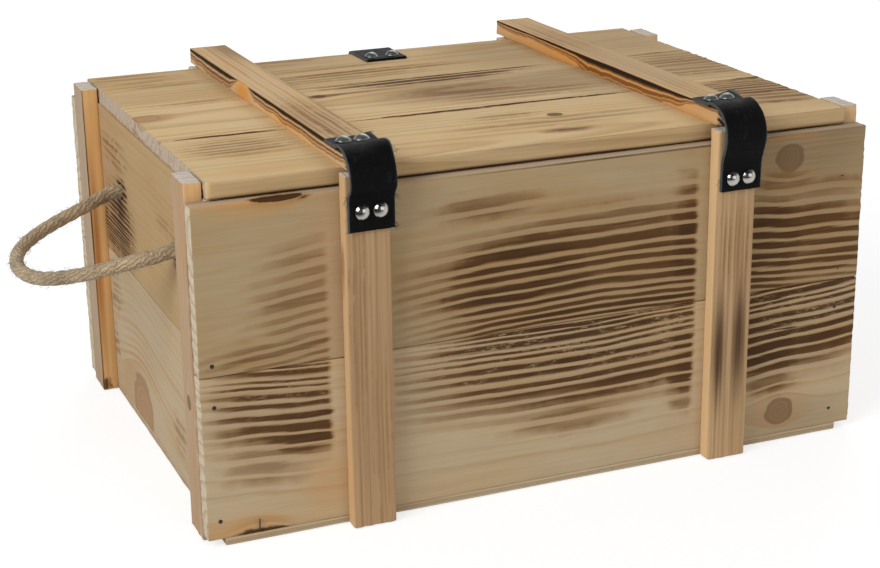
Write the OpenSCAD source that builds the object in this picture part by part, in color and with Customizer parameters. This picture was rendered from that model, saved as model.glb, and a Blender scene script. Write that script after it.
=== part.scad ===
// Wooden wine box of scorched pine planks and battens. The lid hangs on two leather straps on the
// hinge side (-Y), a leather pull tab is on the opening side (+Y), and a rope handle is on each end.
// Millimetres, +Z up, +X to the right. The origin is the middle of the box, on the floor.

/* [Box] */
// Length of the long wall planks, which is the outer length of the box
box_length = 500; // [420:10:640]
// Outer depth over the faces of the two long walls
box_depth = 348; // [300:2:420]
// Height of a long wall, which is two planks
wall_height = 229; // [190:1:280]
// Thickness of the wall planks
wall_t = 12; // [9:0.5:16]
// How far the end panels stand above the long walls, to carry the lid
end_rise = 1; // [0.5:0.5:3]
// Open joint between neighbouring planks
plank_gap = 0.4; // [0.2:0.1:1.5]
// Thickness of the bottom panel under the walls
bottom_t = 5; // [3:0.5:9]

/* [Battens] */
// Width of every batten
batten_w = 30; // [22:1:36]
// Thickness of every batten
batten_t = 12; // [9:0.5:16]
// Distance from the end of the box to the middle of a wall batten
wall_batten_inset = 113.5; // [95:0.5:145]
// Air between the top of a wall batten and the lid batten over it
wall_batten_air = 1; // [0.5:0.5:3]
// Sideways offset of the lid battens from the wall battens
lid_batten_shift = 4.5; // [-6:0.5:6]
// How far the lid battens reach past the face of the hinge wall
lid_batten_back = 2; // [0:0.5:8]
// How far the lid battens reach past the face of the opening wall, as a finger grip
lid_batten_front = 21; // [16:1:30]

/* [Lid] */
// Thickness of the lid planks
lid_t = 11.5; // [9:0.5:16]
// Width of the first two lid planks; the third is ripped to fit
lid_plank_w = 113.6; // [100:0.1:118]
// Distance from the face of the hinge wall to the lid
lid_back_setback = 7.7; // [5:0.1:10]
// Distance from the lid to the face of the opening wall
lid_front_setback = 2.5; // [1:0.5:8]
// Air between the lid and a corner batten
lid_side_air = 1.3; // [0.5:0.1:4]

/* [Leather] */
// Thickness of the leather
leather_t = 2.2; // [1.4:0.2:3]
// Width of a hinge strap
strap_w = 32; // [26:1:40]
// Sideways offset of the hinge straps from the wall battens
strap_shift = 2; // [-4:0.5:4]
// Length of a hinge strap on the top of the lid batten
strap_on_lid = 32; // [28:1:50]
// Length of the left strap below the top of the wall batten
strap_drop_left = 37; // [34:1:60]
// Length of the right strap below the top of the wall batten
strap_drop_right = 43; // [34:1:60]
// How far the slack of a strap stands off the wall batten
strap_bow = 5.7; // [3:0.1:9]
// How far the slack of a strap lifts off the lid batten
strap_hump = 2; // [0.5:0.5:4]
// Width of the pull tab
tab_w = 35; // [28:1:50]
// Length of the pull tab on the lid
tab_on_lid = 39.5; // [32:0.5:60]
// Length of the pull tab below the top of the lid
tab_drop = 56; // [40:1:80]
// Air between the hanging tab and the opening wall
tab_air = 0.8; // [0.5:0.1:3]

/* [Rope handles] */
// Diameter of the rope
rope_d = 10; // [8:0.5:12]
// Diameter of the rope holes in the end panels
rope_hole_d = 13; // [12.5:0.5:16]
// Height of the rope holes above the floor
rope_hole_z = 180; // [150:1:200]
// Distance between the two rope holes of one end
rope_hole_pitch = 162; // [150:1:174]
// Offset of the rope holes from the middle of the end panel
rope_hole_shift = -8; // [-12:1:0]
// Distance from the end panel to the place where the rope bends, which the handle swings about
rope_pivot_out = 6; // [6:0.5:9]
// Droop of the resting handle below the horizontal, in degrees
rope_droop = 15; // [5:1:30]
// Diameter of the knot behind each hole
knot_d = 23; // [20:1:30]
// Air between a knot and the end panel
knot_air = 0.3; // [0.2:0.1:2]
// Length of the loose rope end below a knot
knot_tail = 20; // [10:1:30]

/* [Nails] */
// Diameter of a dome nail's head
dome_d = 11; // [9:0.5:13]
// Height of a dome nail's head
dome_h = 3.4; // [2.5:0.1:4.5]
// Diameter of a dome nail's shank
dome_shank_d = 1.8; // [1.4:0.1:2.4]
// Length of a dome nail's shank
dome_shank_l = 11; // [9:0.5:11]
// Distance between the two dome nails of a strap
strap_nail_pitch = 12.6; // [12:0.2:18]
// Distance from the end of a strap to its nails on the lid batten
strap_nail_edge = 11; // [8:0.5:14]
// Height of the left strap's wall nails above its lower end
left_nail_edge = 13; // [8:0.5:15]
// Height of the right strap's wall nails above its lower end
right_nail_edge = 9; // [8:0.5:15]
// Distance between the two dome nails of the pull tab
tab_nail_pitch = 18; // [13:0.5:22]
// Distance from the end of the pull tab to its nails
tab_nail_edge = 12; // [8:0.5:16]
// Diameter of a panel pin
pin_d = 1.6; // [1.2:0.1:2]
// Diameter of a panel pin's head
pin_head_d = 3; // [2.4:0.1:4]
// Thickness of a panel pin's head
pin_head_t = 0.8; // [0.5:0.1:1.2]
// Length of the pins through the long walls into what stands behind them
wall_pin_l = 29; // [24:1:32]
// Length of the pins that hold a batten to the planks
batten_pin_l = 17; // [15:0.5:17]
// Distance from the left end of a long wall to its pins, which go into the corner batten
left_pin_inset = 9; // [8:0.5:9.5]
// Distance from the right end of a long wall to its pins, which go into the end panel
right_pin_inset = 18; // [17.5:0.5:18.5]
// Radial clearance of a nail in its hole
nail_fit = 0.05; // [0.02:0.01:0.1]
// Width of a bottom staple's crown
staple_w = 10; // [8:1:12]
// Thickness of a staple's wire
staple_wire = 1; // [0.8:0.1:1.2]
// Length of a staple's legs
staple_leg = 16; // [12:1:20]

/* [Hidden] */
$fn = 48;
eps = 0.01;

// Faces and heights of the box
half_l = box_length / 2;
half_d = box_depth / 2;
wall_z = bottom_t;
rim_z = wall_z + wall_height;
end_height = wall_height + end_rise;
lid_z = wall_z + end_height;
lid_top = lid_z + lid_t;
lid_batten_top = lid_top + batten_t;
wall_batten_top = lid_top - wall_batten_air;
wall_plank_h = (wall_height - plank_gap) / 2;
end_plank_h = (end_height - plank_gap) / 2;
end_face = half_l - batten_t;
inner_x = end_face - wall_t;
inner_y = half_d - wall_t;

// Lid planks from the hinge side to the opening side
lid_back = -half_d + lid_back_setback;
lid_front = half_d - lid_front_setback;
lid_half_l = end_face - lid_side_air;
middle_plank_y = lid_back + lid_plank_w + plank_gap;
front_plank_y = middle_plank_y + lid_plank_w + plank_gap;

// Places of the battens along the box, and of the straps on them
batten_x = half_l - wall_batten_inset;
batten_back = -half_d - lid_batten_back;
batten_front = half_d + lid_batten_front;
wall_batten_face = -half_d - batten_t;

// Heights of the pins in a lower and an upper wall plank
lower_pins = [wall_z + 13, wall_z + wall_plank_h - 20.6];
upper_pins = [rim_z - wall_plank_h + 7.7, rim_z - 34.5];
wall_pin_heights = concat(lower_pins, upper_pins);
// Heights of the pins that go from the inside into a batten, two to a plank
inner_pin_heights = [wall_z + 32, wall_z + wall_plank_h - 42, rim_z - wall_plank_h + 32, rim_z - 20];
batten_pin_heights = [wall_z + 32, wall_z + wall_plank_h - 42, rim_z - wall_plank_h + 25, rim_z - 35];
// Sideways places of neighbouring pins on a batten, which are staggered
pin_stagger = batten_w / 4;
// Distance from a lid plank's edge to its pins
lid_pin_edge = 28;

// Places of the staples along the long walls and along the end panels
long_staples = [-half_l + 35, -half_l / 2, 0, half_l / 2, half_l - 35];
end_staples = [-half_d / 2, 0, half_d / 2];

// The handle's loop in its own plane: distance out from the swing axis, and distance across from
// the middle of the two holes. The rope leaves one hole, runs round and goes into the other.
half_loop = [
    [0, 81], [6, 80.5], [13, 78], [22, 74], [32, 70], [43, 66], [54, 61],
    [65, 54], [75, 45], [83, 33], [88, 18]
];
loop_tip = [90, 0];
loop_points = concat(
    half_loop, [loop_tip], [for (i = [len(half_loop) - 1:-1:0]) [half_loop[i][0], -half_loop[i][1]]]
);
rope_hole_y = [rope_hole_shift + rope_hole_pitch / 2, rope_hole_shift - rope_hole_pitch / 2];
rope_sides = 10;

pine = [0.80, 0.66, 0.46];
pine_light = [0.86, 0.74, 0.54];
pine_orange = [0.76, 0.52, 0.30];
plywood = [0.82, 0.72, 0.54];
leather = [0.07, 0.07, 0.08];
nickel = [0.78, 0.78, 0.80];
steel = [0.45, 0.45, 0.47];
jute = [0.62, 0.50, 0.36];

// A box from its lowest corner to its highest corner
module bar(low, high) {
    translate(low) cube(high - low);
}

// A panel pin that starts at the origin with its flat head and points along +Z
module pin(length, clear) {
    translate([0, 0, -clear]) {
        cylinder(h = length + 2 * clear, d = pin_d + 2 * clear);
        cylinder(h = pin_head_t + 2 * clear, d = pin_head_d + 2 * clear);
    }
}

// A dome nail that points along -Z, with the underside of its head at the origin
module dome_nail() {
    dome_r = (pow(dome_d / 2, 2) + pow(dome_h, 2)) / (2 * dome_h);
    dome_shank(0);
    intersection() {
        translate([0, 0, dome_h - dome_r]) sphere(r = dome_r);
        cylinder(h = dome_h, d = dome_d + 1);
    }
}

module dome_shank(clear) {
    translate([0, 0, -dome_shank_l - clear])
        cylinder(h = dome_shank_l + clear + eps, d = dome_shank_d + 2 * clear);
}

// Pins through the faces of both long walls, near their ends
module long_wall_pin_set(clear) {
    for (side = [-1, 1], z = wall_pin_heights, x = [-half_l + left_pin_inset, half_l - right_pin_inset])
        translate([x, side * half_d, z]) rotate([side * 90, 0, 0]) pin(wall_pin_l, clear);
}

// Pins from the inside of the long walls into the wall battens
module wall_batten_pin_set(clear) {
    for (side = [-1, 1], end = [-1, 1], i = [0:len(batten_pin_heights) - 1])
        translate([
            end * batten_x + (i % 2 == 0 ? 1 : -1) * pin_stagger,
            side * inner_y,
            batten_pin_heights[i]
        ]) rotate([-side * 90, 0, 0]) pin(batten_pin_l, clear);
}

// Pins from the inside of the end panels into the corner battens
module corner_batten_pin_set(clear) {
    for (end = [-1, 1], side = [-1, 1], i = [0:len(inner_pin_heights) - 1])
        translate([
            end * inner_x,
            side * (inner_y - batten_w / 2 + (i % 2 == 0 ? 1 : -1) * pin_stagger / 2),
            inner_pin_heights[i]
        ]) rotate([0, end * 90, 0]) pin(batten_pin_l, clear);
}

// Pins from under the lid planks up into the lid battens
module lid_batten_pin_set(clear) {
    plank_ends = [
        [lid_back, lid_back + lid_plank_w],
        [middle_plank_y, middle_plank_y + lid_plank_w],
        [front_plank_y, lid_front]
    ];
    for (end = [-1, 1], plank = plank_ends, i = [0, 1])
        translate([
            end * batten_x + lid_batten_shift + (i == 0 ? 1 : -1) * pin_stagger,
            i == 0 ? plank[0] + lid_pin_edge : plank[1] - lid_pin_edge,
            lid_z
        ]) pin(batten_pin_l, clear);
}

// A staple with its crown flush under the bottom panel and its legs up, along X
module staple(clear) {
    half_w = staple_w / 2 + clear;
    half_wire = staple_wire / 2 + clear;
    bar([-half_w, -half_wire, -clear], [half_w, half_wire, staple_wire + clear]);
    for (side = [-1, 1])
        translate([side * (half_w - half_wire), 0, 0])
            bar([-half_wire, -half_wire, -clear], [half_wire, half_wire, staple_leg + clear]);
}

module bottom_staple_set(clear) {
    for (side = [-1, 1], x = long_staples)
        translate([x, side * (half_d - wall_t / 2), 0]) staple(clear);
    for (end = [-1, 1], y = end_staples)
        translate([end * (end_face - wall_t / 2), y, 0]) rotate([0, 0, 90]) staple(clear);
}

// Places of the dome nails: on the wall battens, on the lid battens and on the lid
module at_wall_strap_nails() {
    for (strap = [[-1, strap_drop_left - left_nail_edge], [1, strap_drop_right - right_nail_edge]], i = [-1, 1])
        translate([
            strap[0] * batten_x + strap_shift + i * strap_nail_pitch / 2,
            wall_batten_face - leather_t,
            wall_batten_top - strap[1]
        ]) rotate([90, 0, 0]) children();
}

module at_lid_strap_nails() {
    for (end = [-1, 1], i = [-1, 1])
        translate([
            end * batten_x + strap_shift + i * strap_nail_pitch / 2,
            batten_back + strap_on_lid - strap_nail_edge,
            lid_batten_top + leather_t
        ]) children();
}

module at_pull_tab_nails() {
    for (i = [-1, 1])
        translate([i * tab_nail_pitch / 2, lid_front - tab_on_lid + tab_nail_edge, lid_top + leather_t])
            children();
}

// A point on a cubic curve from a to d with the handles b and c
function curve(a, b, c, d, t) =
    pow(1 - t, 3) * a + 3 * t * pow(1 - t, 2) * b + 3 * pow(t, 2) * (1 - t) * c + pow(t, 3) * d;

function curve_points(a, b, c, d, steps) = [for (i = [1:steps]) curve(a, b, c, d, i / steps)];

// The direction of a path at one of its points, and the unit vector to its left there
function along(path, i) = path[min(i + 1, len(path) - 1)] - path[max(i - 1, 0)];
function left_of(path, i) = let (v = along(path, i)) [-v[1], v[0]] / norm(v);

// A band of leather of even thickness along a path in the YZ plane
module leather_band(path, width) {
    half_t = leather_t / 2;
    one_side = [for (i = [0:len(path) - 1]) path[i] + left_of(path, i) * half_t];
    other_side = [for (i = [len(path) - 1:-1:0]) path[i] - left_of(path, i) * half_t];
    rotate([90, 0, 90])
        translate([0, 0, -width / 2])
            linear_extrude(height = width) polygon(concat(one_side, other_side));
}

// The middle of a hinge strap in the YZ plane: flat under the nails on the lid batten, slack over
// the batten's end, and flat under the nails on the wall batten
function strap_path(drop, nail_edge) =
    let (
        half_t = leather_t / 2,
        nail_reach = dome_d / 2 + 1,
        top_z = lid_batten_top + half_t,
        face_y = wall_batten_face - half_t,
        flat_end = [batten_back + strap_on_lid - strap_nail_edge - nail_reach, top_z],
        hump = [batten_back + 5, top_z + strap_hump],
        lift = [(flat_end[0] - hump[0]) / 2, 0],
        bow = [face_y - strap_bow, wall_batten_top - 3],
        landing = [face_y, wall_batten_top - min(20, drop - nail_edge - nail_reach)]
    )
    concat(
        [[batten_back + strap_on_lid, top_z], flat_end],
        curve_points(flat_end, flat_end - lift, hump + lift, hump, 5),
        curve_points(hump, hump - [12, 0], bow + [0, 12], bow, 8),
        curve_points(bow, bow - [0, 8], landing + [0, 7], landing, 6),
        [[face_y, wall_batten_top - drop]]
    );

// The middle of the pull tab in the YZ plane: flat on the lid, folded over its edge and hanging
function tab_path() =
    let (
        top_z = lid_top + leather_t / 2,
        hang_y = half_d + tab_air + leather_t / 2,
        flat_end = [lid_front + 0.3, top_z],
        hang = [hang_y, top_z - 6]
    )
    concat(
        [[lid_front - tab_on_lid, top_z], flat_end],
        curve_points(flat_end, flat_end + [(hang_y - flat_end[0]) * 0.6, 0], hang + [0, 4], hang, 6),
        [[hang_y, lid_top - tab_drop]]
    );

// A long wall's plank. level 0 is the lower one and 1 the upper one.
module long_wall_plank(side, level) {
    z = wall_z + level * (wall_plank_h + plank_gap);
    y = side > 0 ? inner_y : -half_d;
    difference() {
        bar([-half_l, y, z], [half_l, y + wall_t, z + wall_plank_h]);
        long_wall_pin_set(nail_fit);
        wall_batten_pin_set(nail_fit);
        if (level == 0) bottom_staple_set(nail_fit);
    }
}

module end_plank(end, level) {
    z = wall_z + level * (end_plank_h + plank_gap);
    x = end > 0 ? inner_x : -end_face;
    difference() {
        bar([x, -inner_y, z], [x + wall_t, inner_y, z + end_plank_h]);
        long_wall_pin_set(nail_fit);
        corner_batten_pin_set(nail_fit);
        if (level == 0) bottom_staple_set(nail_fit);
        if (level == 1)
            for (y = rope_hole_y)
                translate([x - 1, y, rope_hole_z]) rotate([0, 90, 0]) cylinder(h = wall_t + 2, d = rope_hole_d);
    }
}

module corner_batten(end, side) {
    x = end > 0 ? end_face : -half_l;
    y = side > 0 ? inner_y - batten_w : -inner_y;
    difference() {
        bar([x, y, 0], [x + batten_t, y + batten_w, lid_top]);
        long_wall_pin_set(nail_fit);
        corner_batten_pin_set(nail_fit);
    }
}

module wall_batten(side, end) {
    x = end * batten_x - batten_w / 2;
    y = side > 0 ? half_d : wall_batten_face;
    difference() {
        bar([x, y, 0], [x + batten_w, y + batten_t, wall_batten_top]);
        wall_batten_pin_set(nail_fit);
        if (side < 0) at_wall_strap_nails() dome_shank(nail_fit);
    }
}

module lid_plank(y0, y1) {
    difference() {
        bar([-lid_half_l, y0, lid_z], [lid_half_l, y1, lid_top]);
        lid_batten_pin_set(nail_fit);
        at_pull_tab_nails() dome_shank(nail_fit);
    }
}

module lid_batten(end) {
    x = end * batten_x + lid_batten_shift - batten_w / 2;
    difference() {
        bar([x, batten_back, lid_top], [x + batten_w, batten_front, lid_batten_top]);
        lid_batten_pin_set(nail_fit);
        at_lid_strap_nails() dome_shank(nail_fit);
    }
}

module hinge_strap(end, drop, nail_edge) {
    difference() {
        translate([end * batten_x + strap_shift, 0, 0])
            leather_band(strap_path(drop, nail_edge), strap_w);
        at_wall_strap_nails() dome_shank(nail_fit);
        at_lid_strap_nails() dome_shank(nail_fit);
    }
}

// A point of the handle's loop in the box, for the left end
function loop_place(p) = [
    -end_face - rope_pivot_out - p[0] * cos(rope_droop),
    rope_hole_shift + p[1] * rope_hole_pitch / (2 * half_loop[0][1]),
    rope_hole_z - p[0] * sin(rope_droop)
];

// The direction of the rope at a point of the loop. Its two ends stand square to the end panel.
function rope_direction(path, i) =
    i == 0 ? [-1, 0, 0] : i == len(path) - 1 ? [1, 0, 0] : along(path, i) / norm(along(path, i));

// The vertices of one ring of the rope
function rope_ring(path, i) =
    let (
        v = rope_direction(path, i),
        normal = [-sin(rope_droop), 0, cos(rope_droop)],
        flat = normal - (normal * v) * v,
        up = flat / norm(flat),
        out = cross(v, up)
    )
    [for (k = [0:rope_sides - 1])
        path[i] + (out * cos(k * 360 / rope_sides) + up * sin(k * 360 / rope_sides)) * rope_d / 2];

// The rope of the left handle outside the place where it bends, as one closed tube
module rope_loop() {
    path = [for (p = loop_points) loop_place(p)];
    rings = len(path);
    points = [for (i = [0:rings - 1]) each rope_ring(path, i)];
    walls = [
        for (i = [0:rings - 2], k = [0:rope_sides - 1])
            let (n = (k + 1) % rope_sides, a = i * rope_sides)
            [a + k, a + n, a + rope_sides + n, a + rope_sides + k]
    ];
    first_cap = [for (k = [rope_sides - 1:-1:0]) k];
    last_cap = [for (k = [0:rope_sides - 1]) (rings - 1) * rope_sides + k];
    polyhedron(points = points, faces = concat([first_cap], walls, [last_cap]));
}

// The rope of the left handle in its two holes, with a knot and a loose end inside the box
module rope_knots() {
    bend_x = -end_face - rope_pivot_out;
    knot_x = -inner_x + knot_air + knot_d / 2;
    for (y = rope_hole_y) {
        translate([bend_x, y, rope_hole_z]) rotate([0, 90, 0]) cylinder(h = knot_x - bend_x, d = rope_d);
        translate([knot_x, y, rope_hole_z]) {
            sphere(d = knot_d);
            translate([0, 0, -knot_d / 2 - knot_tail]) cylinder(h = knot_d / 2 + knot_tail, d = rope_d);
        }
    }
}

module hinge_wall_lower_plank() { color(pine) long_wall_plank(-1, 0); }
module hinge_wall_upper_plank() { color(pine) long_wall_plank(-1, 1); }
module opening_wall_lower_plank() { color(pine) long_wall_plank(1, 0); }
module opening_wall_upper_plank() { color(pine) long_wall_plank(1, 1); }
module left_end_lower_plank() { color(pine) end_plank(-1, 0); }
module left_end_upper_plank() { color(pine) end_plank(-1, 1); }
module right_end_lower_plank() { color(pine) end_plank(1, 0); }
module right_end_upper_plank() { color(pine) end_plank(1, 1); }

module bottom_panel() {
    color(plywood) difference() {
        bar([-end_face, -half_d, 0], [end_face, half_d, bottom_t]);
        bottom_staple_set(nail_fit);
    }
}

module left_hinge_corner_batten() { color(pine_orange) corner_batten(-1, -1); }
module left_opening_corner_batten() { color(pine_orange) corner_batten(-1, 1); }
module right_hinge_corner_batten() { color(pine_orange) corner_batten(1, -1); }
module right_opening_corner_batten() { color(pine_orange) corner_batten(1, 1); }
module hinge_wall_left_batten() { color(pine_orange) wall_batten(-1, -1); }
module hinge_wall_right_batten() { color(pine_orange) wall_batten(-1, 1); }
module opening_wall_left_batten() { color(pine_orange) wall_batten(1, -1); }
module opening_wall_right_batten() { color(pine_orange) wall_batten(1, 1); }

module lid_plank_hinge_side() { color(pine_light) lid_plank(lid_back, lid_back + lid_plank_w); }
module lid_plank_middle() { color(pine_light) lid_plank(middle_plank_y, middle_plank_y + lid_plank_w); }
module lid_plank_opening_side() { color(pine_light) lid_plank(front_plank_y, lid_front); }
module left_lid_batten() { color(pine_orange) lid_batten(-1); }
module right_lid_batten() { color(pine_orange) lid_batten(1); }

module left_hinge_strap() { color(leather) hinge_strap(-1, strap_drop_left, left_nail_edge); }
module right_hinge_strap() { color(leather) hinge_strap(1, strap_drop_right, right_nail_edge); }

module pull_tab() {
    color(leather) difference() {
        leather_band(tab_path(), tab_w);
        at_pull_tab_nails() dome_shank(nail_fit);
    }
}

module wall_strap_nails() { color(nickel) at_wall_strap_nails() dome_nail(); }
module lid_strap_nails() { color(nickel) at_lid_strap_nails() dome_nail(); }
module pull_tab_nails() { color(nickel) at_pull_tab_nails() dome_nail(); }
module long_wall_pins() { color(steel) long_wall_pin_set(0); }
module wall_batten_pins() { color(steel) wall_batten_pin_set(0); }
module corner_batten_pins() { color(steel) corner_batten_pin_set(0); }
module lid_batten_pins() { color(steel) lid_batten_pin_set(0); }
module bottom_staples() { color(steel) bottom_staple_set(0); }

module left_rope_loop() { color(jute) rope_loop(); }
module right_rope_loop() { color(jute) mirror([1, 0, 0]) rope_loop(); }
module left_rope_knots() { color(jute) rope_knots(); }
module right_rope_knots() { color(jute) mirror([1, 0, 0]) rope_knots(); }

hinge_wall_lower_plank();
hinge_wall_upper_plank();
opening_wall_lower_plank();
opening_wall_upper_plank();
left_end_lower_plank();
left_end_upper_plank();
right_end_lower_plank();
right_end_upper_plank();
bottom_panel();
left_hinge_corner_batten();
left_opening_corner_batten();
right_hinge_corner_batten();
right_opening_corner_batten();
hinge_wall_left_batten();
hinge_wall_right_batten();
opening_wall_left_batten();
opening_wall_right_batten();
lid_plank_hinge_side();
lid_plank_middle();
lid_plank_opening_side();
left_lid_batten();
right_lid_batten();
left_hinge_strap();
right_hinge_strap();
pull_tab();
wall_strap_nails();
lid_strap_nails();
pull_tab_nails();
long_wall_pins();
wall_batten_pins();
corner_batten_pins();
lid_batten_pins();
bottom_staples();
left_rope_loop();
right_rope_loop();
left_rope_knots();
right_rope_knots();
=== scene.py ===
import math
import random

import bmesh
import bpy
from mathutils import Euler, Matrix, Vector


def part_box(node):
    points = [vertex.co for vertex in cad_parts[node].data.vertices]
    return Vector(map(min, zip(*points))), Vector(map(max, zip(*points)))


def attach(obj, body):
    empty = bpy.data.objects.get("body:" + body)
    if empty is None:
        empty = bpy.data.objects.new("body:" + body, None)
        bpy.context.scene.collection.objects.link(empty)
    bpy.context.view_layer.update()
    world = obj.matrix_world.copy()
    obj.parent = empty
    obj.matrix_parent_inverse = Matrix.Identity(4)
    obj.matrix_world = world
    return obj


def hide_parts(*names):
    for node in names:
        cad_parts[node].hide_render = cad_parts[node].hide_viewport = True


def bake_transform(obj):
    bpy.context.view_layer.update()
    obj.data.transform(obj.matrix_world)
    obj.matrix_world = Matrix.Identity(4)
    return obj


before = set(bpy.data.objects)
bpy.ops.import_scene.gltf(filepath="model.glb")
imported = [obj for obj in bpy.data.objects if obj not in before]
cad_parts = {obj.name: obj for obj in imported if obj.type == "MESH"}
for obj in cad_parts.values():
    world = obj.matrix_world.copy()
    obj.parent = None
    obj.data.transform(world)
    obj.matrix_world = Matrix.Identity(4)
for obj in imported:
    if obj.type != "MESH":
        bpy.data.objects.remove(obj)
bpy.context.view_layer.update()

# Camera and studio: a long lens a little above the box, a pale floor, one wide soft lamp high on the left,
# weaker ones in front and behind, and a white room with a dark ceiling that only shows in the metal.
X, Y, Z = range(3)
scene = bpy.context.scene
scene.view_settings.view_transform = "Standard"

camera_data = bpy.data.cameras.new("camera")
camera_data.lens = 75.02
camera_data.sensor_width = 36.0
camera_data.clip_end = 30.0
camera = bpy.data.objects.new("camera", camera_data)
camera.location = (-0.52354, -1.24097, 0.55143)
camera.rotation_mode = "YXZ"
camera.rotation_euler = (math.radians(71.29), math.radians(2.21), math.radians(-24.79))
scene.collection.objects.link(camera)
scene.camera = camera


def clear_selection():
    if bpy.context.object and bpy.context.object.mode != "OBJECT":
        bpy.ops.object.mode_set(mode="OBJECT")
    bpy.ops.object.select_all(action="DESELECT")


class Nodes:
    """The empty node tree of the world or of a new material, with short names for the nodes in most use."""

    def __init__(self, owner):
        owner.use_nodes = True
        self.tree = owner.node_tree
        self.tree.nodes.clear()

    def node(self, kind, inputs=None, **settings):
        """One node, with its settings, and its inputs given as numbers or as sockets to link."""
        made = self.tree.nodes.new("ShaderNode" + kind)
        for name, value in settings.items():
            setattr(made, name, value)
        for name, value in (inputs or {}).items():
            if isinstance(value, bpy.types.NodeSocket):
                self.tree.links.new(value, made.inputs[name])
            else:
                made.inputs[name].default_value = value
        return made

    def add(self, kind, inputs=None, output=0, **settings):
        """One output of a new node."""
        return self.node(kind, inputs, **settings).outputs[output]

    def math(self, operation, *values, clamp=False):
        return self.add("Math", dict(enumerate(values)), operation=operation, use_clamp=clamp)

    def mul(self, a, b, clamp=False):
        return self.math("MULTIPLY", a, b, clamp=clamp)

    def madd(self, a, b, c):
        return self.math("MULTIPLY_ADD", a, b, c)

    def sub(self, a, b):
        return self.math("SUBTRACT", a, b)

    def larger(self, a, b):
        return self.math("MAXIMUM", a, b)

    def scale(self, vector, factor):
        return self.add("VectorMath", {0: vector, "Scale": factor}, operation="SCALE")

    def length(self, vector):
        return self.add("VectorMath", {0: vector}, "Value", operation="LENGTH")

    def remap(self, value, low, high, to_low=0.0, to_high=1.0, smooth=True):
        return self.add("MapRange", {0: value, 1: low, 2: high, 3: to_low, 4: to_high},
                        interpolation_type="SMOOTHSTEP" if smooth else "LINEAR")

    def object_place(self):
        return self.add("TexCoord", output="Object")

    def seen_directly(self):
        """1 for the camera, for mirror rays and for rays through glass, and 0 for all other rays."""
        path = self.node("LightPath").outputs
        either = self.larger(path["Is Camera Ray"], path["Is Glossy Ray"])
        return self.larger(either, path["Is Transmission Ray"])

    def lit_side(self, place, low, high, darkest):
        """1 for the camera. In mirror rays, less towards the near left, where the studio is dark."""
        side = self.add("VectorMath", {0: place, 1: (0.8, 0.6, 0.0)}, "Value", operation="DOT_PRODUCT")
        seen = self.add("LightPath", output="Is Camera Ray")
        return self.larger(self.remap(side, low, high, darkest, 1.0), seen)


world = bpy.data.worlds.new("white_room")
scene.world = world
n = Nodes(world)
white = (1.0, 1.0, 1.0, 1.0)
way = n.add("TexCoord", output="Generated")
ceiling = n.remap(n.node("SeparateXYZ", {0: way}).outputs[Z], 0.30, 0.62, 1.0, 0.16)
room_light = n.add("Background", {"Color": white, "Strength": 0.39})
brightness = n.mul(ceiling, n.lit_side(way, -0.35, 0.25, 0.10))
room_seen = n.add("Background", {"Color": white, "Strength": brightness})
room = n.add("MixShader", {0: n.seen_directly(), 1: room_light, 2: room_seen})
n.node("OutputWorld", {"Surface": room})

clear_selection()
bpy.ops.mesh.primitive_plane_add(size=12.0, location=(0.0, 0.0, -0.0006))
floor = bpy.context.object
floor.name = "floor"
floor_material = bpy.data.materials.new("pale_floor")
n = Nodes(floor_material)
paint = n.add("BsdfDiffuse", {"Color": (0.42, 0.42, 0.42, 1.0)})
glow = n.add("Emission", {"Color": white, "Strength": 0.70})
dark = n.add("BsdfDiffuse", {"Color": (0.05, 0.05, 0.05, 1.0)})
bounce = n.add("BsdfDiffuse", {"Color": (0.70, 0.70, 0.70, 1.0)})
bright = n.add("AddShader", {0: paint, 1: glow})
seen = n.add("MixShader", {0: n.lit_side(n.object_place(), -0.75, -0.15, 0.0), 1: dark, 2: bright})
n.node("OutputMaterial", {"Surface": n.add("MixShader", {0: n.seen_directly(), 1: bounce, 2: seen})})
floor.data.materials.append(floor_material)

lamp_target = Vector((0.0, 0.0, 0.1))
for name, place, size, watts in (
    ("key_lamp", (-2.8, -1.4, 2.1), 1.9, 76.0),
    ("front_lamp", (0.8, -3.2, 1.2), 2.2, 22.0),
    ("back_lamp", (1.5, 2.6, 2.4), 2.0, 30.0),
):
    lamp_data = bpy.data.lights.new(name, "AREA")
    lamp_data.shape = "SQUARE"
    lamp_data.size = size
    lamp_data.energy = watts
    lamp = bpy.data.objects.new(name, lamp_data)
    lamp.location = place
    lamp.rotation_euler = (lamp_target - Vector(place)).to_track_quat("-Z", "Y").to_euler()
    scene.collection.objects.link(lamp)

# Long walls: two planed pine planks each, edge to edge with the seam half way up. They were scorched with a
# torch after the battens were on, so the soft bands of the grain are black-brown, the hard lines between
# them stay pale, and a strip on each side of a batten is unburnt. The ends are left rough from the saw.
PINE = (0.510, 0.376, 0.212)
LATE_PINE = (0.390, 0.250, 0.118)
SAWN_PINE = (0.680, 0.580, 0.425)
KNOT = (0.300, 0.180, 0.095)
RESIN = (0.560, 0.270, 0.075)
PINKISH = (0.480, 0.285, 0.165)
TANNED = (0.250, 0.165, 0.090)
TOAST = (0.238, 0.120, 0.041)
CHAR = (0.104, 0.046, 0.015)
SOOT = (0.050, 0.020, 0.007)
FLAKED = (0.400, 0.275, 0.145)
SINGED_BROWN = (0.190, 0.075, 0.022)
SINGED_BLACK = (0.026, 0.017, 0.011)
LICK = (22.0, 4.0, 9.0)
EDGE = 0.0009
CELL_ALONG = 0.020


def select_where(piece, kind, wanted):
    """In edit mode, selects the corners, edges or faces of a piece for which wanted is true."""
    shell = bmesh.from_edit_mesh(piece.data)
    for part in getattr(shell, kind):
        part.select_set(wanted(part))
    bmesh.update_edit_mesh(piece.data)


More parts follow.
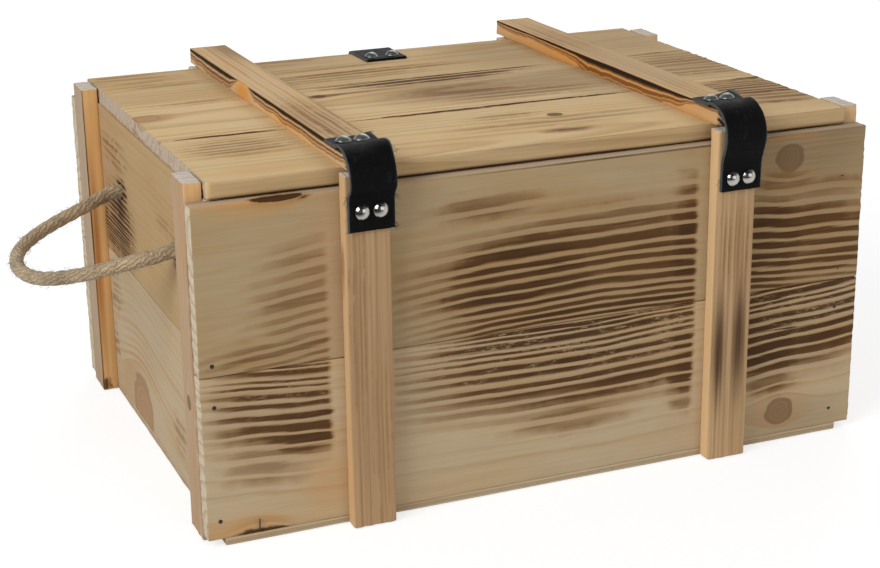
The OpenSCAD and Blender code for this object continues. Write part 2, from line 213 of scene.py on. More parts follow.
def saw_board(name, node, grain, across=0.004, fray=0.0005, seed=1):
    """A board in the place of a CAD board, gridded so that its edges and sawn ends can be roughened.

    grain is the axis that its fibres lie along."""
    low, high = (Vector(corner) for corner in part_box(node))
    clear_selection()
    bpy.ops.mesh.primitive_cube_add(size=1.0, location=(low + high) / 2)
    board = bpy.context.object
    board.name = name
    board.scale = high - low
    bpy.ops.object.transform_apply(location=True, rotation=False, scale=True)
    bpy.ops.object.mode_set(mode="EDIT")
    bpy.ops.mesh.select_mode(type="EDGE")
    for axis in (X, Y, Z):
        select_where(board, "edges",
                     lambda edge: abs((edge.verts[1].co - edge.verts[0].co).normalized()[axis]) > 0.9)
        cell = CELL_ALONG if axis == grain else across
        cuts = round((high[axis] - low[axis]) / cell) - 1
        if cuts > 0:
            bpy.ops.mesh.subdivide(number_cuts=cuts)
    normal = Vector((0.0, 0.0, 0.0))
    normal[grain] = 1.0
    for inset in (0.0015, 0.006):
        for place in (low[grain] + inset, high[grain] - inset):
            bpy.ops.mesh.select_all(action="SELECT")
            bpy.ops.mesh.bisect(plane_co=normal * place, plane_no=normal)

    def sides_at(vert, axes=(X, Y, Z)):
        return sum(min(vert.co[a] - low[a], high[a] - vert.co[a]) < EDGE for a in axes)

    # Small unevenness everywhere, more along the edges, and most at the sawn ends.
    bpy.ops.mesh.select_mode(type="VERT")
    for step, offset, wanted in (
        (0, 0.00006, lambda vert: True),
        (2, 0.00022, lambda vert: sides_at(vert) >= 2),
        (4, fray, lambda vert: sides_at(vert, (grain,)) > 0),
    ):
        select_where(board, "verts", wanted)
        bpy.ops.transform.vertex_random(offset=offset, seed=seed + step)
    return board


def add_modifier(piece, kind, **settings):
    """Adds a modifier to a piece and applies it."""
    step = piece.modifiers.new(kind.lower(), kind)
    for key, value in settings.items():
        setattr(step, key, value)
    bpy.ops.object.modifier_apply(modifier=step.name)


def dress(piece, material, slot, *nodes):
    """Gives a piece its material, and hides the CAD nodes that it takes the place of."""
    piece.data.materials.clear()
    piece.data.materials.append(material)
    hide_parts(*nodes)


def finish_board(board, node, body, slot, material, wear=0.0009):
    """Rounds the edges of a board a little, shades it and puts it in its place."""
    if board.mode == "EDIT":
        bpy.ops.object.mode_set(mode="OBJECT")
    add_modifier(board, "BEVEL", width=wear, segments=2, limit_method="ANGLE", angle_limit=math.radians(55))
    bpy.ops.object.shade_smooth_by_angle(angle=math.radians(40))
    dress(board, material, slot, node)
    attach(board, body)


def new_material(name):
    """A material, its nodes, and each point's place in millimetres, as a vector and as three numbers."""
    material = bpy.data.materials.new(name)
    n = Nodes(material)
    place = n.scale(n.object_place(), 1000.0)
    return material, n, place, n.node("SeparateXYZ", {0: place}).outputs


def mix(n, share, a, b):
    """a where share is 0 and b where it is 1. Both are colours or colour sockets."""
    a, b = (colour if isinstance(colour, bpy.types.NodeSocket) else (*colour, 1.0) for colour in (a, b))
    return n.add("MixRGB", {0: share, 1: a, 2: b})


def noise(n, where, reach, detail=2.0, roughness=0.5, seed=0.0):
    """Noise from 0 to 1 whose lumps are about reach long, on every axis or on each, in millimetres."""
    sizes = reach if isinstance(reach, tuple) else (reach,) * 3
    scaled = n.add("VectorMath", {0: where, 1: tuple(1.0 / size for size in sizes)}, operation="MULTIPLY")
    inputs = {"Vector": scaled, "W": seed, "Scale": 1.0, "Detail": detail, "Roughness": roughness}
    return n.add("TexNoise", inputs, noise_dimensions="4D")


def ramp(n, value, *stops):
    """A colour ramp through two or more stops, each a place and a colour."""
    made = n.node("ValToRGB", {0: value})
    elements = made.color_ramp.elements
    elements[0].position, elements[1].position = stops[0][0], stops[-1][0]
    elements[0].color, elements[1].color = (*stops[0][1], 1.0), (*stops[-1][1], 1.0)
    for place, colour in stops[1:-1]:
        elements.new(place).color = (*colour, 1.0)
    return made.outputs[0]


def surface(n, colour, height, strength, distance, **settings):
    """Ends a material with a shader and a bump. Settings are named as the shader's, with _ for each space."""
    normal = n.add("Bump", {"Height": height, "Strength": strength, "Distance": distance})
    inputs = {name.replace("_", " "): value for name, value in settings.items()}
    shader = n.add("BsdfPrincipled", {"Base Color": colour, "Normal": normal, **inputs})
    n.node("OutputMaterial", {"Surface": shader})


def nearness(n, place, centre, span, inner=0.45):
    """1 round a point and 0 beyond span from it on each axis, in millimetres."""
    near = n.add("Mapping", {"Vector": place, "Location": centre, "Scale": span}, vector_type="TEXTURE")
    return n.remap(n.length(near), 1.0, inner)


def pine(node, grain, across, pith, burns=(), shields=(), knots=(), stains=(), flakes=None, singed=(),
         light=PINE, late=LATE_PINE, sawn=SAWN_PINE, spacing=10.0, tight=155.0, late_share=0.24,
         bow=(0.0, 0.0), sway=9.0, shake=1.6, drawn=1.0, seed=0.0):
    """Pine of one board. Places and lengths are in millimetres in the box's frame.

    grain and across are the axes of the fibres and of the board's width. pith is where the middle of the
    tree lies: across, through, and how far it drifts through the board for each millimetre along it.
    burns are (place, reach, heat) of each touch of the flame, shields (from, to) along the board where
    something kept the flame off, and knots (along, across, radius, shade). stains are (place, reach, share,
    colour) of resin and tan, and flakes (place, reach) of the char that has begun to flake off. singed are
    (place along, depth) of the char that hangs from the upper edge of the side that faces left.

    spacing is the width of a year, which shrinks beyond a radius of tight. bow is where along the board the
    grain turns back and how sharply, sway and shake are how far it wanders, slowly and quickly, and drawn is
    how much longer than in a wide board the streaks are."""
    low, high = (Vector(corner) * 1000 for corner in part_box(node))
    through = 3 - grain - across
    material, n, place, split = new_material("pine_" + node)
    u, v, w = split[grain], split[across], split[through]
    local = n.add("CombineXYZ", {0: u, 1: v, 2: w})

    # Year rings are circles round the pith, bowed, wandering, and bent round the knots.
    for knot_u, knot_v, radius, _ in knots:
        du, dv = n.sub(u, knot_u), n.sub(v, knot_v)
        near = n.math("EXPONENT", n.mul(n.mul(du, du), -1.0 / (2.2 * radius) ** 2))
        left = n.madd(near, -(1.25 * radius) ** 2, n.mul(dv, dv))
        v = n.madd(n.math("SQRT", n.larger(left, 0.0)), n.math("SIGN", dv), knot_v)
    from_middle = n.sub(u, bow[0])
    bowed = n.madd(n.mul(from_middle, from_middle), bow[1], v)
    bowed = n.madd(noise(n, local, (150.0, 45.0, 45.0), 2.0, seed=seed), sway, bowed)
    shiver = noise(n, local, (26.0, 7.0, 7.0), 2.0, seed=seed + 3)
    bowed = n.madd(shiver, shake, bowed)
    off_v = n.sub(bowed, pith[0] + (sway + shake) / 2)
    drifted = n.madd(from_middle, pith[2], n.sub(w, pith[1]))
    ring_radius = n.length(n.add("CombineXYZ", {0: off_v, 1: drifted}))
    closer = n.math("POWER", n.math("DIVIDE", ring_radius, tight), 4.0)
    rings = n.math("DIVIDE", ring_radius, spacing)
    rings = n.madd(rings, closer, rings)
    width = n.math("DIVIDE", spacing, n.madd(closer, 5.0, 1.0))
    uneven = n.add("TexNoise", {"W": n.math("ADD", rings, seed), "Scale": 0.7, "Detail": 1.0},
                   noise_dimensions="1D")
    rings = n.madd(uneven, 0.65, rings)
    season = n.math("FRACT", rings)
    year = n.add("TexWhiteNoise", {"W": n.math("FLOOR", rings)}, noise_dimensions="1D")

    # Unburnt wood: pale early wood, a thin late line, fibres, and broad changes of tone.
    late_line = ramp(n, season, (0.45, (0.0, 0.0, 0.0)), (0.90, (1.0, 1.0, 1.0)), (1.0, (0.0, 0.0, 0.0)))
    fibre = noise(n, local, (38.0 * drawn, 0.55, 0.55), 3.0, 0.6, seed)
    streak = noise(n, local, (70.0 * drawn, 1.8, 1.8), 3.0, 0.6, seed + 2)
    tone = noise(n, local, (95.0, 26.0, 26.0), 3.0, seed=seed + 5)
    fine_line = n.mul(late_line, n.mul(year, n.remap(tone, 0.3, 0.7, late_share, late_share * 3.0)))
    wood = mix(n, fine_line, light, late)
    darker = (light[0] * 0.97, light[1] * 0.84, light[2] * 0.66)
    wood = mix(n, n.remap(tone, 0.40, 0.72, 0.0, 0.50), wood, darker)
    for centre, span, share, colour in stains:
        streaked = n.remap(streak, 0.30, 0.62, 0.55 * share, share)
        wood = mix(n, n.mul(nearness(n, place, centre, span, 0.1), streaked), wood, colour)
    wood = n.scale(wood, n.madd(fibre, 0.24, n.madd(streak, 0.22, 0.77)))

    # The rough ends are paler and short-grained.
    from_end = n.math("MINIMUM", n.sub(u, low[grain]), n.sub(high[grain], u))
    end_grain = n.remap(from_end, 0.15, 0.75, 1.0, 0.0)
    fuzz = noise(n, local, 0.6, 2.0, 0.6, seed)
    rough = n.scale(mix(n, n.mul(late_line, 0.5), sawn, late), n.madd(fuzz, 1.5, 0.25))
    wood = mix(n, end_grain, wood, rough)

    # Knots: rings of their own round a heart, a dark rim of bark, and resin in the wood that bends past.
    for knot_u, knot_v, radius, shade in knots:
        offset = n.add("CombineXYZ", {0: n.math("DIVIDE", n.sub(u, knot_u), radius * 1.15),
                                      1: n.math("DIVIDE", n.sub(split[across], knot_v), radius)})
        reach = n.madd(shiver, 0.5, n.sub(n.length(offset), 0.25))
        bent = n.mul(n.remap(reach, 3.2, 1.0, 0.0, 0.60), late_line)
        wood = mix(n, bent, wood, tuple(c * 0.75 for c in RESIN))
        own_rings = n.math("FRACT", n.mul(reach, 3.6))
        dark_heart = tuple(c * shade * 0.62 for c in KNOT)
        heart = mix(n, n.mul(own_rings, 0.55), tuple(c * shade for c in KNOT), dark_heart)
        rim = n.sub(n.remap(reach, 0.80, 0.95), n.remap(reach, 0.98, 1.10))
        wood = mix(n, n.remap(reach, 0.86, 1.06, 0.92, 0.0), wood, heart)
        wood = mix(n, n.mul(rim, 0.55), wood, dark_heart)

    # Heat at this place: the hottest of the touches, ragged along each ring, less behind the shields.
    relief = n.mul(fibre, 0.35)
    if burns:
        licked = n.add("TexNoise", {"Vector": local, "Scale": 0.07, "Detail": 3.0}, "Color")
        licked = n.add("VectorMath", {0: licked, 1: (0.5, 0.5, 0.5)}, operation="SUBTRACT")
        licked = n.add("VectorMath", {0: licked, 1: LICK, 2: place}, operation="MULTIPLY_ADD")
        heat = None
        for centre, span, strength in burns:
            touch = n.mul(nearness(n, licked, centre, span, 0.3), strength)
            heat = touch if heat is None else n.larger(heat, touch)
        ragged = noise(n, local, (60.0 * drawn, 5.0, 5.0), 2.0, seed=seed + 9)
        for start, stop in shields:
            away = n.sub(n.math("ABSOLUTE", n.sub(u, (start + stop) / 2)), (stop - start) / 2)
            away = n.madd(ragged, 5.0, n.sub(away, 2.5))
            heat = n.mul(heat, n.remap(away, -1.5, 5.0))
        burnt = n.mul(heat, n.remap(ragged, 0.25, 0.75, 0.68, 1.0, smooth=False))
        burnt = n.mul(burnt, n.madd(year, 0.24, 0.88))
        burnt = n.mul(burnt, n.madd(streak, 0.60, 0.70))
        # Distance from the hard line that ends each year, which stays pale in all but the strongest heat.
        edge = n.mul(n.sub(0.5, n.math("ABSOLUTE", n.sub(season, 0.5))), width)
        edge = n.math("DIVIDE", edge, n.mul(width, 0.15, clamp=True))
        edge = n.madd(n.sub(streak, 0.5), 2.4, edge)
        edge = n.madd(burnt, 1.15, n.sub(edge, 1.6))
        edge = n.madd(n.larger(n.sub(burnt, 1.0), 0.0), 12.0, edge)
        band = n.remap(edge, 0.0, 1.4)
        char = n.mul(band, n.remap(burnt, 0.02, 0.60, 0.0, 0.95, smooth=False), clamp=True)
        tint = n.mul(burnt, n.madd(band, 0.45, 0.62))
        tint = n.madd(n.sub(fibre, 0.5), 0.30, tint)
        charred = ramp(n, tint, (0.20, TOAST), (0.62, CHAR), (1.0, SOOT))
        if flakes:
            specks = noise(n, local, (4.5, 0.9, 0.9), 3.0, 0.6, seed)
            cluster = noise(n, local, (26.0, 7.0, 7.0), 2.0, 0.5, seed + 6)
            flaked = n.mul(n.remap(specks, 0.48, 0.62), n.remap(cluster, 0.46, 0.62))
            flaked = n.mul(flaked, nearness(n, place, *flakes, 0.3))
            charred = mix(n, n.mul(flaked, 0.75), charred, FLAKED)
        warm = mix(n, n.remap(burnt, 0.04, 0.60, 0.0, 0.34), wood, tuple(c * 1.3 for c in TOAST))
        wood = mix(n, char, warm, charred)
        relief = n.madd(char, -0.8, relief)
    if singed:
        run = n.remap(u, low[grain], high[grain], smooth=False)
        length = high[grain] - low[grain]
        stops = [((at - low[grain]) / length, [deep / 10] * 3) for at, deep in singed]
        depth = ramp(n, run, (0.0, stops[0][1]), *stops[1:-1], (1.0, stops[-1][1]))
        depth = n.mul(depth, n.madd(noise(n, local, (30.0, 200.0, 200.0), 3.0, 0.6, seed + 11), 9.0, 3.0))
        down = n.math("DIVIDE", n.sub(high[through], w), n.larger(depth, 0.05))
        down = n.madd(n.sub(fibre, 0.5), 0.35, down)
        facing = n.remap(split[across], low[across] + 0.5, low[across] + 0.15)
        # Below the black lie two brown streaks with paler wood between them.
        brown = n.remap(down, 1.20, 0.90, 0.0, 0.85)
        for start, stop, share in ((1.50, 2.00, 0.88), (2.35, 2.75, 0.62)):
            band = n.mul(n.remap(down, start - 0.18, start), n.remap(down, stop + 0.18, stop))
            brown = n.larger(brown, n.mul(band, share))
        wood = mix(n, n.mul(brown, facing), wood, SINGED_BROWN)
        wood = mix(n, n.mul(n.remap(down, 1.0, 0.60), facing), wood, SINGED_BLACK)
    relief = n.madd(n.mul(fuzz, end_grain), 3.0, relief)
    surface(n, wood, relief, 0.8, 0.0003, Roughness=0.72, Specular_IOR_Level=0.07)
    return material


def on_face(axis, face, rows):
    """Rows of two places, three reaches and more on a flat face, as places and reaches in the box's frame."""
    placed = []
    for a, b, reach_x, reach_y, reach_z, *rest in rows:
        place = [a, b]
        place.insert(axis, face)
        placed.append((tuple(place), (reach_x, reach_y, reach_z), *rest))
    return tuple(placed)


HINGE_FACE, OPENING_FACE = -174, 174
WALL_SHIELDS = ((-159.5, -119.0), (114.5, 151.0))
# The top of the hinge wall is pale, with a dark line along its outer edge.
RIM_STAINS = (((0, -170, 234.8), (900, 9, 1.6), 1.30, (0.600, 0.470, 0.370)),
              ((80, HINGE_FACE - 0.4, 233), (240, 1.2, 1.3), 1.30, (0.100, 0.050, 0.024)))

# Each board: its pith, its bow, its colour, the touches of the flame, its knots, its stains, where it has
# flaked and its seed.
wall_boards = (
    ("hinge_wall_upper_plank", (234, -186, 0.02), (40, 0.00024), (0.41, 0.304, 0.174),
     ((22, 154, 185, 9, 68, 0.76), (-18, 152, 100, 9, 60, 1), (45, 188, 130, 9, 22, 0.6),
      (112, 158, 40, 9, 74, 0.98), (40, 128, 190, 9, 34, 0.95), (-46, 210, 60, 6, 16, 0.46),
      (104, 222, 18, 6, 12, 0.26), (-170, 160, 62, 8, 66, 0.46), (-185, 128, 95, 8, 20, 0.52),
      (205, 146, 110, 9, 60, 0.74), (172, 152, 56, 9, 60, 0.98), (180, 194, 50, 6, 24, 0.46),
      (220, 190, 50, 6, 16, 0.44), (-194, 237, 30, 7, 9, 1.5)),
     ((187, 217, 9.8, 0.72), (-192, 242, 8, 0.6)),
     ((-212, 238, 60, 8, 22, 0.75, RESIN), (-160, 175, 26, 8, 90, 0.45, PINKISH),
      # The tan at the upper right, up to the top edge, is partly toasted wood and partly painted shade.
      (205, 232, 110, 8, 70, 0.95, TANNED)),
     None, 1),
    ("hinge_wall_lower_plank", (2, -186, 0.03), (-10, -0.00018), (0.52, 0.405, 0.258),
     ((22, 94, 200, 9, 62, 0.78), (10, 104, 150, 9, 46, 1), (112, 88, 44, 9, 64, 1),
      (60, 80, 100, 9, 30, 0.86), (-188, 98, 84, 9, 58, 0.82), (-180, 84, 50, 9, 46, 0.88),
      (-205, 60, 50, 9, 34, 0.46), (205, 98, 115, 9, 62, 0.94), (174, 92, 62, 9, 66, 1.08),
      (178, 48, 40, 6, 16, 0.62), (16, 47, 74, 6, 15, 0.5), (106, 45, 20, 6, 13, 0.52),
      (-212, 5, 30, 6, 5, 1.2)),
     ((188, 23, 10.5, 0.95), (-214, 0, 8, 0.8)),
     ((-222, 6, 70, 8, 22, 0.6, RESIN), (-165, 30, 30, 8, 46, 0.35, RESIN),
      (110, 34, 34, 8, 60, 0.2, PINKISH), (205, 12, 80, 8, 30, 0.45, TANNED)),
     ((30, HINGE_FACE, 104), (420, 9, 34)), 7),
    ("opening_wall_upper_plank", (238, 186, 0.02), (0, 0.0002), PINE,
     ((-10, 150, 165, 9, 66, 0.6), (30, 140, 90, 9, 56, 0.95), (-205, 140, 80, 9, 56, 0.76),
      (205, 140, 76, 9, 52, 0.84)),
     ((60, 214, 9, 1.1),),
     ((-120, 220, 90, 8, 40, 0.5, PINKISH),),
     None, 13),
    ("opening_wall_lower_plank", (0, 186, 0.03), (10, -0.0002), (0.5, 0.385, 0.24),
     ((-20, 92, 185, 9, 56, 0.6), (10, 98, 110, 9, 40, 0.95), (-205, 94, 80, 9, 50, 0.82),
      (208, 98, 76, 9, 44, 0.76)),
     ((-190, 34, 9, 1.1),),
     ((150, 20, 90, 8, 30, 0.5, PINKISH),),
     ((-30, OPENING_FACE, 104), (420, 9, 34)), 19),
)
for node, pith, bow, light, burns, knots, stains, flakes, seed in wall_boards:
    face = HINGE_FACE if "hinge" in node else OPENING_FACE
    rim = RIM_STAINS if node == "hinge_wall_upper_plank" else ()
    board = saw_board(node.replace("plank", "board"), node, grain=X, across=0.0026, seed=seed)
    finish_board(board, node, "box", "wall_pine",
                 pine(node, X, Z, pith, on_face(Y, face, burns), WALL_SHIELDS, knots,
                      on_face(Y, face, stains) + rim, flakes, light=light, bow=bow, seed=seed))

# End panels: two pine planks each between the long walls, with two holes through the upper one for the rope.
# The flame caught them round the far hole and beside the far corner, and a big knot sits at the foot of the
# left one. Below the far hole of the left one, the char is partly painted shade.
HOLE_D = 0.013
HOLE_Y = -0.008
HOLE_SPREAD = 0.081
HOLE_Z = 0.180
PANEL_T = 0.012


def bore(board, centre, diameter, depth):
    """Drills a round hole through an end panel."""
    bpy.ops.object.mode_set(mode="OBJECT")
    clear_selection()
    bpy.ops.mesh.primitive_cylinder_add(vertices=40, radius=diameter / 2, depth=depth, location=centre,
                                        rotation=(0.0, math.pi / 2, 0.0))
    drill = bpy.context.object
    clear_selection()
    board.select_set(True)
    bpy.context.view_layer.objects.active = board
    add_modifier(board, "BOOLEAN", operation="DIFFERENCE", solver="EXACT", object=drill)
    bpy.data.objects.remove(drill, do_unlink=True)


LEFT_FACE, RIGHT_FACE = -238, 238
PALE_PINE = (0.520, 0.405, 0.265)

# Each board: its pith, its bow, its colour, the touches of the flame, its knots, its stains, how far apart
# its year rings are and its seed.
end_boards = (
    ("left_end_upper_plank", (245, -226, 0.03), (0, 0), (0.465, 0.322, 0.166),
     # The first two touches, below the far hole, are partly char and partly painted shade.
     ((82, 152, 8, 64, 44, 0.98), (80, 162, 8, 34, 30, 1.12), (70, 180, 8, 26, 16, 1.2),
      (112, 142, 8, 44, 30, 0.92), (88, 206, 6, 60, 22, 0.48), (-86, 176, 6, 18, 18, 0.75),
      (-60, 188, 6, 44, 12, 0.28)),
     (),
     ((108, 198, 8, 40, 60, 0.7, PINKISH), (90, 150, 8, 80, 60, 0.6, TANNED)),
     6, 23),
    ("left_end_lower_plank", (20, -232, -0.05), (0, 0.0002), PALE_PINE,
     ((116, 88, 6, 36, 32, 0.36), (124, 30, 6, 14, 40, 0.42), (-66, 34, 6, 28, 30, 0.34)),
     ((44, 16, 25, 1.5),),
     (),
     8, 29),
    ("right_end_upper_plank", (245, 226, 0.03), (0, 0.0002), (0.465, 0.322, 0.166),
     ((-20, 150, 8, 90, 32, 0.62), (80, 190, 8, 34, 22, 0.5)),
     (),
     (),
     6, 31),
    ("right_end_lower_plank", (0, 226, 0.03), (0, -0.0002), PALE_PINE,
     ((0, 96, 8, 120, 28, 0.6),),
     ((-70, 40, 12, 1.2),),
     (),
     8, 37),
)
for node, pith, bow, light, burns, knots, stains, spacing, seed in end_boards:
    face = LEFT_FACE if "left" in node else RIGHT_FACE
    board = saw_board(node.replace("plank", "board"), node, grain=Y, seed=seed)
    if "upper" in node:
        for side in (-1, 1):
            bore(board, (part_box(node)[0][0] + PANEL_T / 2, HOLE_Y + side * HOLE_SPREAD, HOLE_Z), HOLE_D, 0.03)
    finish_board(board, node, "box", "wall_pine",
                 pine(node, Y, Z, pith, on_face(X, face, burns), (), knots, on_face(X, face, stains),
                      light=light, bow=bow, spacing=spacing, seed=seed))

# Corner battens: pine strips nailed upright over the ends of the end panels. They stand on the ground and
# pass the walls at the top, and their faces are a little browned.
BATTEN_PINE = (0.640, 0.445, 0.250)
AMBER = (0.740, 0.430, 0.170)
EMBER = (0.420, 0.160, 0.045)
WALL_INSIDE = 0.162
WALL_GAP = 0.0006
BATTEN_WOOD = {"late": (0.330, 0.170, 0.075), "sawn": (0.720, 0.640, 0.560), "tight": 400.0, "drawn": 2.5}

# Each strip: its colour, the touches of the flame, its knots, its stains and its seed.
corner_boards = (
    ("left_hinge_corner_batten", (0.5, 0.355, 0.23),
     (((-250, -159, 120), (5, 7, 160), 0.34), ((-244, -162, 20), (12, 6, 40), 0.4)),
     ((93, -145, 4.5, 0.9),),
     (((-250, -150, 190), (6, 9, 60), 0.25, RESIN), ((-240, -163, 244), (30, 5, 20), 1.1, AMBER)),
     41),
    ("left_opening_corner_batten", (0.46, 0.345, 0.245),
     (((-247, 132, 4), (9, 6, 9), 0.8),),
     (),
     (((-244, 130.8, 130), (60, 4.2, 900), 1.3, AMBER), ((-247, 130.8, 110), (5, 5, 130), 1.1, EMBER),
      ((-250.3, 132, 90), (1.9, 1.9, 400), 1.6, SOOT)),
     43),
    ("right_hinge_corner_batten", BATTEN_PINE,
     (((250, -147, 120), (5, 22, 90), 0.34),),
     (),
     (),
     47),
    ("right_opening_corner_batten", BATTEN_PINE,
     (((250, 147, 60), (5, 22, 70), 0.36),),
     (),
     (),
     53),
)
for node, light, burns, knots, stains, seed in corner_boards:
    low = [c * 1000 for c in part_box(node)[0]]
    board = saw_board(node + "_strip", node, grain=Z, seed=seed)
    # A thin ragged gap is left between the batten and the wall beside it.
    side = -1 if "hinge" in node else 1
    select_where(board, "verts", lambda vert: abs(vert.co.y - side * WALL_INSIDE) < EDGE)
    bpy.ops.transform.translate(value=(0.0, -side * WALL_GAP, 0.0))
    bpy.ops.transform.vertex_random(offset=WALL_GAP * 2 / 3, seed=seed)
    finish_board(board, node, "box", "batten_pine",
                 pine(node, Z, Y, (low[1] - 46.0, low[0] + 5.0, 0.0), burns, (), knots, stains, light=light,
                      spacing=4.2, late_share=0.40, sway=7.0, shake=0.8, seed=seed, **BATTEN_WOOD),
                 wear=0.0007)

# Wall battens: the same strips, two on each long wall. Their faces were scorched to a tan with the walls,
# and their sides, which the flame passed, are still bright.
FRONT, BACK = -186, 186
BROWNED = (0.360, 0.225, 0.122)
SCORCHED = (0.095, 0.052, 0.026)

# Each strip: its colour, the touches of the flame, its stains, how strong its grain is and its seed.
wall_strips = (
    ("hinge_wall_left_batten", (0.64, 0.425, 0.225),
     (((-144, FRONT, 150), (10, 5, 120), 0.3), ((-130, FRONT, 60), (10, 5, 120), 0.26)),
     (((-136.5, FRONT, 120), (60, 3, 300), 0.95, BROWNED),),
     0.8, 59),
    ("hinge_wall_right_batten", (0.75, 0.515, 0.275),
     (((140, FRONT, 160), (12, 5, 50), 0.36), ((130, FRONT, 160), (6, 5, 40), 0.36)),
     (((136.5, FRONT, 120), (60, 3, 300), 0.98, BROWNED), ((127, FRONT, 82), (8, 4, 62), 1.05, SCORCHED),
      ((143, FRONT, 90), (8, 4, 66), 1.05, SCORCHED)),
     0.42, 61),
    ("opening_wall_left_batten", (0.68, 0.47, 0.255),
     (((-136.5, BACK, 120), (60, 1.6, 220), 0.32),),
     (((-136.5, BACK, 120), (60, 3, 300), 0.5, BROWNED),),
     0.8, 67),
    ("opening_wall_right_batten", (0.68, 0.47, 0.255),
     (((136.5, BACK, 120), (60, 1.6, 220), 0.32),),
     (((136.5, BACK, 120), (60, 3, 300), 0.5, BROWNED), ((142, BACK, 70), (9, 4, 60), 0.95, SCORCHED)),
     0.6, 71),
)
for node, light, burns, stains, late_share, seed in wall_strips:
    low = [c * 1000 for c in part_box(node)[0]]
    board = saw_board(node + "_strip", node, grain=Z, seed=seed)
    finish_board(board, node, "box", "batten_pine",
                 pine(node, Z, X, (low[0] - 50.0, low[1] + 8.0, 0.0), burns, (), (), stains, light=light,
                      spacing=3.6, late_share=late_share, sway=5.0, shake=0.7, seed=seed, **BATTEN_WOOD),
                 wear=0.0007)

# Bottom panel: thin birch plywood, cut to the outside of the box and stapled up under the walls.
BIRCH = (0.560, 0.440, 0.280)
BIRCH_GLUE = (0.150, 0.080, 0.040)


def plywood():
    material, n, place, split = new_material("birch_plywood")
    figure = noise(n, place, (160.0, 14.0, 3.0), 4.0, 0.6, 2.0)
    fibre = noise(n, place, (30.0, 0.7, 0.7), 3.0, 0.6, 3.0)
    dark_birch = tuple(c * s for c, s in zip(BIRCH, (0.84, 0.76, 0.66)))
    face = n.scale(mix(n, n.remap(figure, 0.35, 0.70), BIRCH, dark_birch), n.madd(fibre, 0.3, 0.85))
    # Three plies show on the edge: the middle one is end grain and darker, between two glue lines.
    height = n.math("ABSOLUTE", n.sub(split[Z], 2.5))
    middle = n.remap(height, 0.75, 0.95, 1.0, 0.0)
    glue = n.sub(n.remap(height, 0.75, 0.90), n.remap(height, 0.95, 1.10))
    edge = mix(n, n.mul(middle, 0.6), face, tuple(c * 0.62 for c in BIRCH))
    edge = mix(n, n.mul(glue, 0.8), edge, BIRCH_GLUE)
    wobble = noise(n, place, 3.0, 3.0, 0.6, 4.0)
    surface(n, edge, n.madd(fibre, 0.4, n.mul(wobble, 0.4)), 0.6, 0.0003, Roughness=0.7,
            Specular_IOR_Level=0.15)
    return material


bottom = saw_board("bottom_sheet", "bottom_panel", grain=X, across=0.012, fray=0.0003, seed=5)
finish_board(bottom, "bottom_panel", "box", "bottom_plywood", plywood(), wear=0.0004)

# Rope handles: 10 mm jute rope of three strands, laid up with a right-hand twist. Each goes in at one hole
# of an end panel and out at the other, with an overhand knot behind each hole to hold it, and is stiff
# enough to stand out from the box in a drooping loop.
ROPE_D = 0.010
ROPE_TURN = 0.030
ROPE_DROOP = math.radians(15.0)
BEND_X = 0.244
KNOT_X = 0.2142
KNOT_R = 0.0063
PANEL_X = 0.230
BARE_STEPS = 30
# Half of the loop, from its farthest point back to a hole: out from the bend and across, in millimetres.
HALF_LOOP = (
    (0, 81), (6, 80.5), (13, 78), (22, 74), (32, 70), (43, 66), (54, 61), (65, 54), (75, 45), (83, 33),
    (88, 18),
)
LOOP = HALF_LOOP + ((90, 0),) + tuple((out, -across) for out, across in reversed(HALF_LOOP))


def smooth_path(points, step):
    """Points a step apart along a smooth curve through the given ones."""
    ends = [points[0] * 2 - points[1], *points, points[-1] * 2 - points[-2]]
    dense = [points[0].copy()]
    for a, b, c, d in zip(ends, ends[1:], ends[2:], ends[3:]):
        for t in (i / 24 for i in range(1, 25)):
            dense.append(0.5 * (2 * b + (c - a) * t + (2 * a - 5 * b + 4 * c - d) * t * t
                                + (3 * b - a - 3 * c + d) * t ** 3))
    lengths = [0.0]
    for a, b in zip(dense, dense[1:]):
        lengths.append(lengths[-1] + (b - a).length)
    count = max(2, round(lengths[-1] / step))
    out, at = [], 0
    for i in range(count + 1):
        want = lengths[-1] * i / count
        while at < len(lengths) - 2 and lengths[at + 1] < want:
            at += 1
        share = (want - lengths[at]) / max(lengths[at + 1] - lengths[at], 1e-9)
        out.append(dense[at].lerp(dense[at + 1], min(max(share, 0.0), 1.0)))
    return out


def carried_frames(path):
    """At each point of a path, two directions across it that turn as little as possible along it."""
    frames, across = [], None
    for i, point in enumerate(path):
        ahead = (path[min(i + 1, len(path) - 1)] - path[max(i - 1, 0)]).normalized()
        if across is None:
            across = ahead.orthogonal().normalized()
        across = (across - ahead * across.dot(ahead)).normalized()
        frames.append((point, across, ahead.cross(across)))
    return frames


def tube_into(shell, uv, path, radius_at, sides):
    """Adds a closed tube to a bmesh. radius_at gives the radius for a place along it and an angle."""
    rings, run, before = [], 0.0, path[0]
    for point, u, v in carried_frames(path):
        run += (point - before).length
        before = point
        angles = [2 * math.pi * k / sides for k in range(sides)]
        rings.append((run, [shell.verts.new(point + (u * math.cos(angle) + v * math.sin(angle))
                                            * radius_at(run, angle)) for angle in angles]))
    for (run_a, a), (run_b, b) in zip(rings, rings[1:]):
        for k in range(sides):
            face = shell.faces.new((a[k], a[(k + 1) % sides], b[(k + 1) % sides], b[k]))
            face.smooth = True
            corners = (k, run_a), (k + 1, run_a), (k + 1, run_b), (k, run_b)
            for loop, (across, along) in zip(face.loops, corners):
                loop[uv].uv = (across / sides, along * 100)
    shell.faces.new(list(reversed(rings[0][1])))
    shell.faces.new(rings[-1][1])


def strand_radius(run, angle):
    """The outline of three strands side by side, turning with the lay of the rope."""
    around = 3 * (angle - 2 * math.pi * run / ROPE_TURN)
    return ROPE_D / 2 * (0.85 + 0.15 * abs(math.cos(around / 2)) ** 0.55)


DARK_JUTE = (0.190, 0.132, 0.074)
JUTE = (0.475, 0.355, 0.218)
PALE_JUTE = (0.760, 0.600, 0.390)


